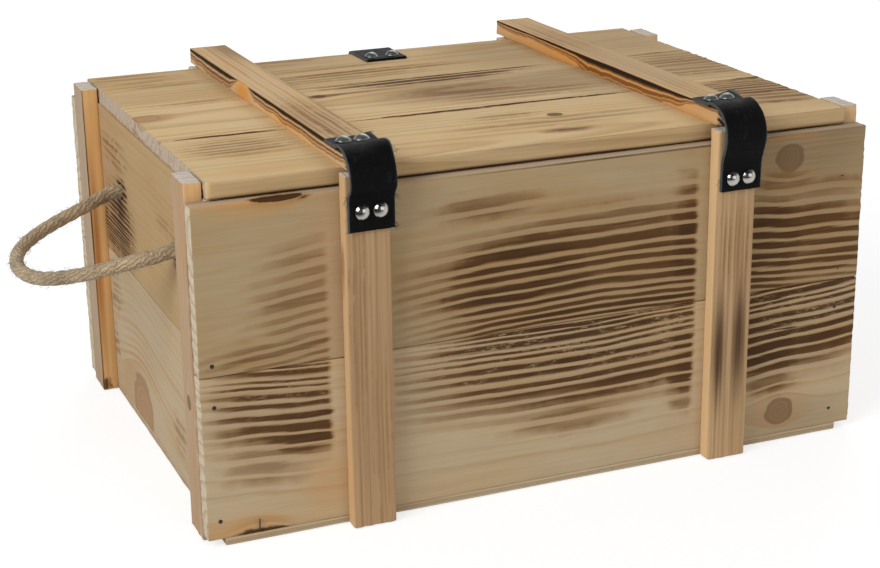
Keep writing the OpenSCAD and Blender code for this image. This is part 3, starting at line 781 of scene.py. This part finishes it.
def jute_rope():
    """Jute: slanting yarns with painted shade between them, fine fibres along them, and lighter and darker
    patches.
    """
    material = bpy.data.materials.new("brown_jute")
    n = Nodes(material)
    coords = n.object_place()
    split = n.node("SeparateXYZ", {0: n.add("UVMap", uv_map="rope")}).outputs
    # Yarns lie at a slant in each strand, and fine fibres lie along the yarns.
    lay = n.madd(split[Y], 1.15, n.madd(split[X], 9.0, 0.0))
    wobble = n.add("TexNoise", {"Vector": coords, "Scale": 260.0, "Detail": 3.0}, noise_dimensions="3D")
    lay = n.madd(wobble, 2.2, lay)
    yarn = n.remap(n.math("SINE", n.mul(lay, 2 * math.pi)), -1.0, 1.0, smooth=False)
    stretched = n.add("CombineXYZ", {0: lay, 1: split[Y]})
    fibre = n.add("TexNoise", {"Vector": stretched, "Scale": 7.0, "Detail": 6.0, "Roughness": 0.75})
    patches = n.add("TexNoise", {"Vector": coords, "Scale": 55.0, "Detail": 4.0})
    colour = ramp(n, fibre, (0.30, DARK_JUTE), (0.5, JUTE), (0.72, PALE_JUTE))
    # Painted shade: darker in the grooves between the yarns, and a little lighter on their crests.
    shade = n.remap(yarn, 0.0, 1.0, 0.76, 1.10, smooth=False)
    tone = n.remap(patches, 0.3, 0.7, 0.76, 1.24, smooth=False)
    surface(n, n.scale(colour, n.mul(shade, tone)), n.madd(fibre, 0.6, yarn), 0.8, 0.0010,
            Roughness=0.92, Sheen_Weight=0.25, Specular_IOR_Level=0.15)
    return material


jute = jute_rope()


def lay_rope(name, path, sides, fuzz=0, seed=0):
    """Rope along a path, with stray fibres that stand off it, but for its ends."""
    shell = bmesh.new()
    uv = shell.loops.layers.uv.new("rope")
    tube_into(shell, uv, path, strand_radius, sides)
    rng = random.Random(seed)
    hairy = path[BARE_STEPS:-BARE_STEPS]
    for _ in range(fuzz):
        i = rng.randrange(2, len(hairy) - 2)
        ahead = (hairy[i + 1] - hairy[i - 1]).normalized()
        away = ahead.orthogonal().normalized()
        away.rotate(Matrix.Rotation(rng.uniform(0, 2 * math.pi), 3, ahead))
        start = hairy[i] + away * ROPE_D * 0.42
        reach = rng.uniform(0.0012, 0.0034)
        lean = ahead * rng.choice((-1, 1)) * rng.uniform(0.5, 1.6)
        points = [start + away * reach * t + lean * reach * t * t for t in (0.0, 0.4, 0.75, 1.0)]
        tube_into(shell, uv, points, lambda run, angle: 0.00010, 3)
    mesh = bpy.data.meshes.new(name)
    shell.to_mesh(mesh)
    shell.free()
    rope = bpy.data.objects.new(name, mesh)
    scene.collection.objects.link(rope)
    rope.data.materials.append(jute)
    return rope


# Each handle: the rope from knot to knot, with its two knots and their loose ends.
for end, side, seed in (("left", -1, 4), ("right", 1, 9)):
    loop = [Vector((side * (BEND_X + out * 0.001 * math.cos(ROPE_DROOP)), HOLE_Y + across * 0.001,
                    HOLE_Z - out * 0.001 * math.sin(ROPE_DROOP))) for out, across in LOOP]
    inner, outer = ([Vector((side * x, y, HOLE_Z)) for x in (KNOT_X, PANEL_X)]
                    for y in (loop[0].y, loop[-1].y))
    route = smooth_path(inner + loop + outer[::-1], 0.0011)
    rope = lay_rope(end + "_rope", route, 36, 380, seed)
    knots = []
    for place, y in (("opening", loop[0].y), ("hinge", loop[-1].y)):
        centre = Vector((side * KNOT_X, y, HOLE_Z))
        turns = []
        for t in (i / 40 for i in range(39)):
            angle = t * 2.15 * math.pi * 1.5
            turns.append(centre + Vector((side * -0.0058 * math.cos(angle * 0.67) * (1 - 0.2 * t),
                                          KNOT_R * math.sin(angle), KNOT_R * math.cos(angle))))
        tail = [centre + Vector(move) for move in (
            (side * -0.003, 0.001, -0.010), (side * -0.0015, 0.001, -0.019), (0.0, 0.0005, -0.0305))]
        knot = lay_rope(end + "_rope_knot_" + place, smooth_path(turns + tail, 0.0014), 24)
        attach(knot, "box")
        knots.append(knot)
    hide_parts(end + "_rope_loop", end + "_rope_knots")
    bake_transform(rope)

# Lid: three pine planks side by side, with a dark line of burnt edge at each seam. The flame only brushed
# them, so the grain is browned in streaks. The near left corner has been knocked off.
LID_TOP = 246.5
LID_END = (0.560, 0.450, 0.350)

# Each board: its pith, its bow, its colour, the touches of the flame (place and reach along and across,
# heat), its knots, its stains and its seed.
lid_boards = (
    ("lid_plank_hinge_side", (-148, 222, 0.06), (-15, 0.00015), (0.675, 0.49, 0.262),
     ((-192, -87, 58, 44, 0.42), (-175, -53, 70, 3.4, 1.1), (20, -53, 150, 3.6, 1.3),
      (4, -84, 44, 12, 0.42), (32, -136, 32, 14, 0.55), (30, -112, 120, 22, 0.34), (212, -82, 76, 50, 0.64),
      (215, -122, 60, 18, 0.5), (215, -53, 60, 4, 1.1)),
     ((40, -95, 5, 0.55),),
     ((-190, -145, 60, 20, 0.35, RESIN), (-50, -140, 60, 24, 0.25, RESIN), (60, -135, 30, 14, 0.3, RESIN),
      (215, -90, 90, 90, 0.5, TANNED)),
     73),
    ("lid_plank_middle", (10, 262, 0.05), (20, 0.0001), (0.7, 0.515, 0.285),
     ((0, 55, 120, 24, 0.9), (18, 6, 90, 30, 0.44), (50, -22, 100, 22, 0.46), (215, 15, 90, 80, 0.4),
      (-178, 52, 54, 9, 0.34), (10, -51.6, 150, 3.4, 1.2), (-200, -51.6, 60, 3, 1),
      (220, -51.6, 50, 3.8, 1.2), (0, 61, 130, 3.4, 1.05)),
     ((-227, 18, 8, 1.75), (-93, 32, 4.5, 0.42)),
     ((-92, 32, 26, 5, 1.5, (0.06, 0.032, 0.026)), (-70, 33.5, 60, 4.5, 1, (0.2, 0.11, 0.065)),
      (-30, 32, 60, 14, 0.35, RESIN), (20, 8, 130, 60, 0.75, TANNED), (110, 10, 70, 110, 0.55, TANNED),
      (215, 20, 90, 90, 0.55, TANNED)),
     79),
    ("lid_plank_opening_side", (150, 230, 0.05), (0, 0.0001), (0.6, 0.43, 0.23),
     ((-40, 101, 140, 14, 0.5), (-50, 84, 120, 12, 0.36), (-60, 126, 80, 12, 0.32),
      (-80, 160, 50, 20, 0.36), (-210, 150, 60, 34, 0.34), (-190, 122, 50, 12, 0.3),
      (0, 62.5, 160, 3, 1.05), (215, 62.5, 70, 3, 1)),
     (),
     ((100, 120, 90, 90, 0.45, TANNED), (210, 120, 70, 90, 0.4, TANNED), (-70, 150, 80, 30, 0.25, TANNED)),
     83),
)
# The edge over the hinge wall is browner than the top, and singed in places at its upper corner. The thin dark
# line along its lower corner is painted shadow of the gap over the wall's rim.
SINGED_LINE = (0.200, 0.100, 0.045)
edge_stains_and_gap_shadow = (
    ((0, -168, 240), (900, 4, 60), 0.75, TANNED),
    # Painted shadow: a thin dark line along the lower corner, where the gap over the wall's rim lies in shade.
    ((0, -166.3, 234.4), (700, 3, 3.2), 1.50, (0.075, 0.036, 0.016)),
    ((40, -166.8, 246.8), (190, 1.4, 1.5), 1.10, SINGED_LINE),
    ((205, -166.8, 246.8), (70, 1.4, 1.5), 1.10, SINGED_LINE),
)


def on_lid(rows):
    return on_face(Z, LID_TOP, ((x, y, reach_x, reach_y, 4, *rest) for x, y, reach_x, reach_y, *rest in rows))


for node, pith, bow, light, burns, knots, stains, seed in lid_boards:
    board = saw_board(node.replace("plank", "board"), node, grain=X, across=0.003, fray=0.0008, seed=seed)
    if node == "lid_plank_hinge_side":
        # The corner is knocked off in three cuts round a radius of 4 mm.
        radius = 0.004
        middle = Vector(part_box(node)[0]) + Vector((radius, radius, 0.0))
        for turn in (22.5, 45.0, 67.5):
            outward = Vector((-math.cos(math.radians(turn)), -math.sin(math.radians(turn)), 0.0))
            bpy.ops.mesh.select_all(action="SELECT")
            bpy.ops.mesh.bisect(plane_co=middle + outward * radius, plane_no=outward, use_fill=True,
                                clear_outer=True)
    finish_board(board, node, "lid", "lid_pine",
                 pine(node, X, Y, pith, on_lid(burns), (), knots, on_lid(stains) + edge_stains_and_gap_shadow, light=light,
                      sawn=LID_END, bow=bow, spacing=9.0, late_share=0.34, seed=seed))

# Lid battens: two strips across the three planks that hold them together, nailed from below. They stand out
# past the lid at both sides. The flame ran along the upper edge of the side that faces left.
BRIGHT = (0.700, 0.325, 0.085)

# Each strip: the touches of the flame, its stains, how deep the char hangs on that side, and its seed.
lid_strips = (
    ("left_lid_batten",
     (((-136, -90, 258.5), (40, 110, 3), 0.4), ((-132, -178, 252), (30, 7, 14), 1.3)),
     (((-148, 48, 250), (5, 30, 20), 1.3, BRIGHT), ((-148, -60, 248), (5, 110, 12), 1.2, AMBER),
      ((-120, 185, 259), (20, 90, 4), 0.9, (0.27, 0.15, 0.085)),
      ((-132, -90, 259), (40, 120, 3), 0.22, TANNED)),
     ((-176, 3.6), (-144, 4.2), (-50, 4.2), (20, 3.4), (36, 0.2), (60, 0.2), (80, 4.6), (120, 5.6),
      (195, 3.6)),
     89),
    ("right_lid_batten",
     (((141, 100, 258.5), (30, 90, 3), 0.3), ((141, -178, 252), (30, 7, 14), 1.3)),
     (((125, 10, 250), (5, 300, 24), 1.25, BRIGHT), ((141, 0, 258.5), (40, 300, 3), 0.34, TANNED)),
     ((-176, 1.6), (-145, 1.6), (-120, 4.2), (-80, 6), (-40, 6), (0, 7), (20, 6.2), (50, 3.4), (70, 3),
      (100, 2), (160, 2.7), (195, 1.8)),
     97),
)
for node, burns, stains, singed, seed in lid_strips:
    low = [c * 1000 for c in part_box(node)[0]]
    board = saw_board(node + "_strip", node, grain=Y, seed=seed)
    wood = BATTEN_WOOD | {"late": (0.310, 0.165, 0.070), "light": (0.660, 0.460, 0.255)}
    finish_board(board, node, "lid", "batten_pine",
                 pine(node, Y, X, (low[0] - 26.0, low[2] - 26.0, 0.0), burns, (), (), stains, singed=singed,
                      spacing=3.4, late_share=0.36, sway=8.0, shake=0.8, seed=seed, **wood), wear=0.0008)

# Hinge straps: bands of black cowhide nailed to the tops of the wall battens and the ends of the lid battens.
# They are the lid's hinge, with a slack bow over the gap that takes up the bend, and cut edges that have
# begun to fray.
LEATHER_T = 0.0022
STRAP_W = 0.032
STRAP_ON_LID = 0.032
STRAP_MIDDLES = (-0.1345, 0.1385)
LID_NAILS_IN = 0.011
NAIL_REACH = 0.0065
LEATHER = (0.0042, 0.0042, 0.0044)
SCUFFED = (0.042, 0.048, 0.056)
RAW_EDGE = (0.150, 0.160, 0.155)
(_, wall_batten_face, _), (_, _, wall_batten_top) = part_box("hinge_wall_left_batten")
(_, lid_batten_end, _), (_, _, lid_batten_top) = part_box("left_lid_batten")


def cubic(a, b, c, d, steps):
    return [a * (1 - t) ** 3 + b * 3 * t * (1 - t) ** 2 + c * 3 * t * t * (1 - t) + d * t ** 3
            for t in ((i + 1) / steps for i in range(steps))]


def strap_line(drop, nail_edge):
    """The middle of a hinge strap from its end on the lid batten to its end on the wall batten."""
    top, face = lid_batten_top + LEATHER_T / 2, wall_batten_face - LEATHER_T / 2
    lid_end = Vector((0.0, lid_batten_end + STRAP_ON_LID, top))
    flat_end = Vector((0.0, lid_batten_end + STRAP_ON_LID - LID_NAILS_IN - NAIL_REACH, top))
    hump = Vector((0.0, lid_batten_end + 0.005, top + 0.002))
    lift = Vector((0.0, (flat_end.y - hump.y) / 2, 0.0))
    bow = Vector((0.0, face - 0.0055, wall_batten_top - 0.004))
    landing = Vector((0.0, face, wall_batten_top - min(0.027, drop - nail_edge - NAIL_REACH)))
    over, down, pull = Vector((0.0, 0.012, 0.0)), Vector((0.0, 0.0, 0.012)), Vector((0.0, 0.0, 0.009))
    return [
        lid_end, flat_end,
        *cubic(flat_end, flat_end - lift, hump + lift, hump, 5),
        *cubic(hump, hump - over, bow + down, bow, 8),
        *cubic(bow, bow - pull, landing + pull, landing, 6),
        Vector((0.0, face, wall_batten_top - drop)),
    ]


def lay_leather(name, middle_x, width, line):
    """A sheet of leather run out along a line, one short stretch after another."""
    clear_selection()
    bpy.ops.mesh.primitive_plane_add(size=1.0, location=line[0] + Vector((middle_x, 0.0, 0.0)))
    sheet = bpy.context.object
    sheet.name = name
    # The plane is squashed to a line across the leather, which the stretches are drawn out of.
    sheet.scale = (width, 0.0001, 1.0)
    bpy.ops.object.transform_apply(location=True, rotation=False, scale=True)
    bpy.ops.object.mode_set(mode="EDIT")
    bpy.ops.mesh.remove_doubles(threshold=0.0004)
    bpy.ops.mesh.select_all(action="SELECT")
    bpy.ops.mesh.select_mode(type="EDGE")
    for before, after in zip(line, line[1:]):
        bpy.ops.mesh.extrude_region_move(TRANSFORM_OT_translate={"value": after - before})
    select_where(sheet, "edges", lambda edge: abs((edge.verts[1].co - edge.verts[0].co).x) > width / 2)
    bpy.ops.mesh.subdivide(number_cuts=15)
    bpy.ops.mesh.select_mode(type="VERT")
    return sheet


def nudge(sheet, place, move, reach):
    """Pulls the leather at a place, and less and less of it around."""
    nearest = min((vert.co - Vector(place)).length for vert in bmesh.from_edit_mesh(sheet.data).verts)
    select_where(sheet, "verts", lambda vert: (vert.co - Vector(place)).length <= nearest)
    bpy.ops.transform.translate(value=move, use_proportional_edit=True, proportional_edit_falloff="SMOOTH",
                                proportional_size=reach)


def thicken_leather(sheet, thickness, seed):
    """Gives a sheet its thickness, with edges that are cut a little unevenly."""
    select_where(sheet, "verts", lambda vert: vert.is_boundary)
    bpy.ops.transform.vertex_random(offset=0.00035, seed=seed)
    bpy.ops.mesh.select_all(action="SELECT")
    bpy.ops.mesh.normals_make_consistent(inside=False)
    bpy.ops.object.mode_set(mode="OBJECT")
    add_modifier(sheet, "SOLIDIFY", thickness=thickness, offset=0.0, use_even_offset=True)
    add_modifier(sheet, "BEVEL", width=0.0004, segments=2, limit_method="ANGLE", angle_limit=math.radians(60))
    add_modifier(sheet, "SUBSURF", levels=1, render_levels=1)
    bpy.ops.object.shade_smooth()


def pull_threads(sheet, middle_x, width, spots, seed):
    """Stray fibres at the cut edges of some leather. Each spot is a side, a height, a reach and a count."""
    rng = random.Random(seed)
    shell = bmesh.new()
    shell.from_mesh(sheet.data)
    uv = shell.loops.layers.uv.new("fibres")
    for side, height, reach, count in spots:
        edge = [vert.co.copy() for vert in shell.verts
                if abs(vert.co.x - middle_x - side * width / 2) < 0.0008 and abs(vert.co.z - height) < reach]
        for _ in range(count):
            start = rng.choice(edge)
            away = Vector((side * rng.uniform(0.5, 1.0), rng.uniform(-0.5, 0.3), rng.uniform(-0.8, 0.5)))
            away.normalize()
            curl = Vector((rng.uniform(-0.4, 0.4), rng.uniform(-0.4, 0.4), rng.uniform(-0.9, 0.5)))
            length = rng.uniform(0.0012, 0.0042)
            points = [start + away * length * t + curl * length * t * t * 0.6 for t in (-0.1, 0.3, 0.65, 1.0)]
            tube_into(shell, uv, points, lambda run, angle: 0.00011, 3)
    shell.to_mesh(sheet.data)
    shell.free()


def cowhide(name, middle_x, width, seed):
    """Black leather: fine grain and creases, blue-grey scuffs that are partly painted sheen high on the bend,
    and a raw fibrous cut edge.
    """
    material, n, place, split = new_material(name)
    from_middle = n.math("ABSOLUTE", n.sub(split[X], middle_x * 1000))
    ragged = noise(n, place, 4.0, 4.0, 0.65, seed)
    worn = n.remap(n.madd(ragged, 4.5, n.sub(from_middle, width * 500 + 2.2)), -2.0, 0.8, 0.0, 0.85)
    cut = n.remap(from_middle, width * 500 - 0.70, width * 500 - 0.25)
    blotches = noise(n, place, 9.0, 5.0, 0.7, seed + 1)
    scratches = noise(n, place, (0.9, 7.0, 7.0), 4.0, 0.7, seed + 2)
    scuff = n.mul(n.remap(blotches, 0.50, 0.75), n.remap(scratches, 0.48, 0.70))
    # It is scuffed most where it bends over the edge of the lid, and more the higher it is, which is partly
    # wear and partly painted sheen on the top of the bend.
    bend_wear_and_sheen = n.remap(split[Z], 246.0, 261.0, 0.55, 1.60)
    colour = mix(n, n.mul(scuff, bend_wear_and_sheen), LEATHER, SCUFFED)
    colour = mix(n, n.mul(worn, 0.55), colour, SCUFFED)
    fluff = noise(n, place, 0.5, 3.0, 0.6, seed + 3)
    colour = mix(n, n.mul(cut, fluff), colour, RAW_EDGE)
    pores = n.add("TexVoronoi", {"Vector": place, "Scale": 1.1}, feature="DISTANCE_TO_EDGE")
    creases = noise(n, place, (14.0, 3.0, 3.0), 4.0, 0.6, seed + 4)
    height = n.madd(n.remap(pores, 0.0, 0.25), 0.30, n.madd(creases, 1.4, n.mul(ragged, 0.8)))
    rough = n.remap(blotches, 0.3, 0.7, 0.46, 0.64, smooth=False)
    surface(n, colour, height, 0.75, 0.00045, Roughness=rough, Specular_IOR_Level=0.055)
    return material


# Each strap: how far it hangs, how far its lower nails are from its end, where it is pulled out of shape,
# where it frays, and its seed.
for end, middle_x, (drop, nail_edge, pulls, threads, seed) in zip(("left", "right"), STRAP_MIDDLES, (
    (0.037, 0.013,
     (((-0.1185, -0.144, 0.2596), (0.001, 0.0015, 0.0016), 0.010),
      ((-0.1185, -0.176, 0.262), (0.0008, -0.0022, 0.0022), 0.016)),
     ((1, 0.2560, 0.007, 16), (1, 0.2280, 0.004, 9), (1, 0.2135, 0.005, 16), (-1, 0.2200, 0.014, 14)), 11),
    (0.043, 0.009,
     (((0.1545, -0.144, 0.2596), (0.0035, 0.002, 0.0026), 0.013),
      ((0.1545, -0.170, 0.262), (0.0, -0.001, 0.001), 0.012)),
     ((1, 0.2300, 0.024, 10), (-1, 0.2100, 0.006, 6)), 12),
)):
    strap = lay_leather(end + "_strap", middle_x, STRAP_W, strap_line(drop, nail_edge))
    for place, move, reach in pulls:
        nudge(strap, place, move, reach)
    thicken_leather(strap, LEATHER_T, seed)
    pull_threads(strap, middle_x, STRAP_W, threads, 21)
    dress(strap, cowhide(end + "_strap_leather", middle_x, STRAP_W, middle_x * 100), "black_leather",
          end + "_hinge_strap")
    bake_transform(strap)

# Pull tab: a shorter piece of the same hide, nailed to the lid, folded over its edge and left hanging in
# front of the opening wall.
TAB_W = 0.035
TAB_ON_LID = 0.0395
TAB_DROP = 0.056
TAB_SLACK = 0.0008
_, (_, lid_edge, lid_top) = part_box("lid_plank_opening_side")
tab_hang_y = OPENING_FACE / 1000 + TAB_SLACK + LEATHER_T / 2
tab_top = lid_top + LEATHER_T / 2
fold = Vector((0.0, lid_edge + 0.0003, tab_top))
hang = Vector((0.0, tab_hang_y, tab_top - 0.006))
outward = Vector((0.0, (tab_hang_y - fold.y) * 0.6, 0.0))
tab_line = [
    Vector((0.0, lid_edge - TAB_ON_LID, tab_top)), Vector((0.0, 0.150, tab_top)), fold,
    *cubic(fold, fold + outward, hang + Vector((0.0, 0.0, 0.004)), hang, 6),
    *(Vector((0.0, tab_hang_y, z)) for z in (0.232, 0.222, 0.212, 0.202, lid_top - TAB_DROP)),
]
tab = lay_leather("pull_tab_leather", 0.0, TAB_W, tab_line)
thicken_leather(tab, LEATHER_T, 14)
dress(tab, cowhide("tab_leather", 0.0, TAB_W, 5.0), "black_leather", "pull_tab")
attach(tab, "lid")

# Dome nails: nickel-plated upholstery nails, each stamped from thin sheet with a low round head. Two hold
# each end of a hinge strap, and two hold the pull tab.
DOME_D = 0.011
DOME_H = 0.0034
SHANK = 0.011
NICKEL = (0.44, 0.43, 0.40)
DULL_NICKEL = (0.300, 0.330, 0.310)
TARNISH = (0.34, 0.30, 0.25)


def turned(name, foot_radius, steps):
    """A round piece built up from a filled circle at the origin, each step a radius and a height."""
    clear_selection()
    bpy.ops.mesh.primitive_circle_add(vertices=32, radius=foot_radius, fill_type="NGON",
                                      location=(0.0, 0.0, 0.0))
    piece = bpy.context.object
    piece.name = name
    bpy.ops.object.mode_set(mode="EDIT")
    bpy.ops.mesh.select_mode(type="FACE")
    bpy.ops.mesh.select_all(action="SELECT")
    radius, height = foot_radius, 0.0
    for wanted_radius, wanted_height in steps:
        bpy.ops.mesh.extrude_region_move(TRANSFORM_OT_translate={"value": (0.0, 0.0, wanted_height - height)})
        factor = wanted_radius / radius
        bpy.ops.transform.resize(value=(factor, factor, 1.0), center_override=(0.0, 0.0, wanted_height))
        radius, height = wanted_radius, wanted_height
    bpy.ops.mesh.select_all(action="SELECT")
    bpy.ops.mesh.normals_make_consistent(inside=False)
    bpy.ops.object.mode_set(mode="OBJECT")
    return piece


def dome_steps():
    """The shank, from its tip to the underside of the head, and then the head's rim and its low dome."""
    ball = ((DOME_D / 2) ** 2 + DOME_H ** 2) / (2 * DOME_H)
    steep = math.asin(DOME_D / 2 / ball)
    cap = [(ball * math.sin(steep * (1 - i / 9)), DOME_H - ball + ball * math.cos(steep * (1 - i / 9)))
           for i in range(1, 9)]
    shank = [(0.0009, 0.003), (0.0009, SHANK)]
    rim = [(DOME_D / 2 - 0.0002, SHANK), (DOME_D / 2, SHANK + 0.0001), (DOME_D / 2, SHANK + 0.0003)]
    cap = [(radius, SHANK + max(height, 0.0004)) for radius, height in cap]
    return shank + rim + cap + [(0.00012, SHANK + DOME_H)]


def drive_nails(name, node, body, plate, places):
    """Copies of one dome nail, each with its head's underside at a place and turned to face out."""
    pattern = turned(name, 0.0002, dome_steps())
    bpy.ops.transform.translate(value=(0.0, 0.0, -SHANK))
    bpy.ops.object.transform_apply(location=True, rotation=False, scale=False)
    copies = []
    for place, facing, lean in places:
        nail = pattern.copy()
        nail.data = pattern.data.copy()
        scene.collection.objects.link(nail)
        tilt = Euler((math.radians(lean[0]), math.radians(lean[1]), 0.0)).to_quaternion()
        turn = Vector(facing).to_track_quat("Z", "Y") @ tilt
        nail.data.transform(Matrix.Translation(place) @ turn.to_matrix().to_4x4())
        copies.append(nail)
    bpy.data.objects.remove(pattern, do_unlink=True)
    clear_selection()
    for nail in copies:
        nail.select_set(True)
    bpy.context.view_layer.objects.active = copies[0]
    bpy.ops.object.join()
    nails = bpy.context.object
    nails.name = name
    bpy.ops.object.shade_smooth_by_angle(angle=math.radians(50))
    dress(nails, plate, "bright_nickel", node)
    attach(nails, body)


def nickel_plate(name, plain, smoothest, roughest):
    """Plate with small dents, dull rubbed patches, and a trace of tarnish."""
    material, n, place, _ = new_material(name)
    dents = noise(n, place, 3.5, 2.0, 0.5, 1.0)
    rubbed = noise(n, place, 1.2, 4.0, 0.7, 2.0)
    tarnish = n.remap(noise(n, place, 5.0, 3.0, 0.6, 3.0), 0.52, 0.78, 0.0, 0.45)
    rough = n.remap(rubbed, 0.35, 0.75, smoothest, roughest, smooth=False)
    surface(n, mix(n, tarnish, plain, TARNISH), dents, 0.35, 0.0006, Roughness=rough, Metallic=1.0)
    return material


# The heads on the walls are bright. Those on the lid have been rubbed dull.
bright_plate = nickel_plate("bright_nickel", NICKEL, 0.10, 0.30)
dull_plate = nickel_plate("rubbed_nickel", DULL_NICKEL, 0.36, 0.52)
STRAP_HALF_PITCH = 0.0063
TAB_HALF_PITCH = 0.009
WALL_NAILS_Z = (0.2215, 0.2115)
LID_NAILS_Y = -0.155
TAB_NAILS_Y = 0.144
UP = (0.0, 0.0, 1.0)
OUTWARD = (0.0, -1.0, 0.0)
drive_nails("wall_strap_domes", "wall_strap_nails", "box", bright_plate,
            [((x + side * STRAP_HALF_PITCH, wall_batten_face - LEATHER_T, z), OUTWARD, (side * 2.0, 3.0))
             for x, z in zip(STRAP_MIDDLES, WALL_NAILS_Z) for side in (-1, 1)])
drive_nails("lid_strap_domes", "lid_strap_nails", "lid", dull_plate,
            [((x + side * STRAP_HALF_PITCH, LID_NAILS_Y, lid_batten_top + LEATHER_T), UP, (2.0, side * 2.0))
             for x in STRAP_MIDDLES for side in (-1, 1)])
drive_nails("pull_tab_domes", "pull_tab_nails", "lid", dull_plate,
            [((side * TAB_HALF_PITCH, TAB_NAILS_Y, lid_top + LEATHER_T), UP, (-2.0, side * 2.0))
             for side in (-1, 1)])

# Panel pins and staples: plain steel, gone dull. Their heads lie in the wood, and only one staple leg has
# come through: it is bent up on the face of the hinge wall, near the left corner.
DULL_STEEL = (0.060, 0.058, 0.060)
RUST = (0.030, 0.022, 0.018)
LEG_D = 0.0009


def dull_steel():
    """Steel with fine grain and small spots of brown."""
    material, n, place, _ = new_material("pin_steel_dull")
    spots = noise(n, place, 1.4, 4.0, 0.7, 6.0)
    grain = noise(n, place, 0.4, 3.0, 0.6, 7.0)
    colour = mix(n, n.remap(spots, 0.45, 0.70), DULL_STEEL, RUST)
    rough = n.remap(grain, 0.3, 0.7, 0.45, 0.70, smooth=False)
    surface(n, colour, grain, 0.5, 0.0002, Roughness=rough, Metallic=0.85)
    return material


steel = dull_steel()
for node in ("long_wall_pins", "wall_batten_pins", "corner_batten_pins", "lid_batten_pins", "bottom_staples"):
    bpy.data.objects[node].data.materials.clear()
    bpy.data.objects[node].data.materials.append(steel)

clear_selection()
bpy.ops.mesh.primitive_cylinder_add(vertices=12, radius=LEG_D / 2, depth=0.003,
                                    location=(-0.2150, -0.1738, 0.0064),
                                    rotation=(math.radians(80), 0.0, 0.0))
leg = bpy.context.object
leg.name = "bent_staple_leg"
bpy.ops.object.transform_apply(location=True, rotation=True, scale=True)
bpy.ops.object.mode_set(mode="EDIT")
bpy.ops.mesh.select_mode(type="FACE")
tip = min(face.calc_center_median().y for face in bmesh.from_edit_mesh(leg.data).faces)
select_where(leg, "faces", lambda face: face.calc_center_median().y <= tip)
for move, turn in (
    ((0.0, -0.0004, 0.0006), 35.0),
    ((0.0001, 0.0, 0.0012), 30.0),
    ((0.0002, 0.0002, 0.0030), 10.0),
    ((0.0003, 0.0003, 0.0040), 0.0),
):
    bpy.ops.mesh.extrude_region_move(TRANSFORM_OT_translate={"value": move})
    shell = bmesh.from_edit_mesh(leg.data)
    centre = next(face for face in shell.faces if face.select).calc_center_median()
    bpy.ops.transform.rotate(value=math.radians(-turn), orient_axis="X", center_override=tuple(centre))
bpy.ops.mesh.select_all(action="SELECT")
bpy.ops.mesh.normals_make_consistent(inside=False)
bpy.ops.object.mode_set(mode="OBJECT")
bpy.ops.object.shade_smooth_by_angle(angle=math.radians(50))
leg.data.materials.clear()
leg.data.materials.append(steel)
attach(leg, "box")
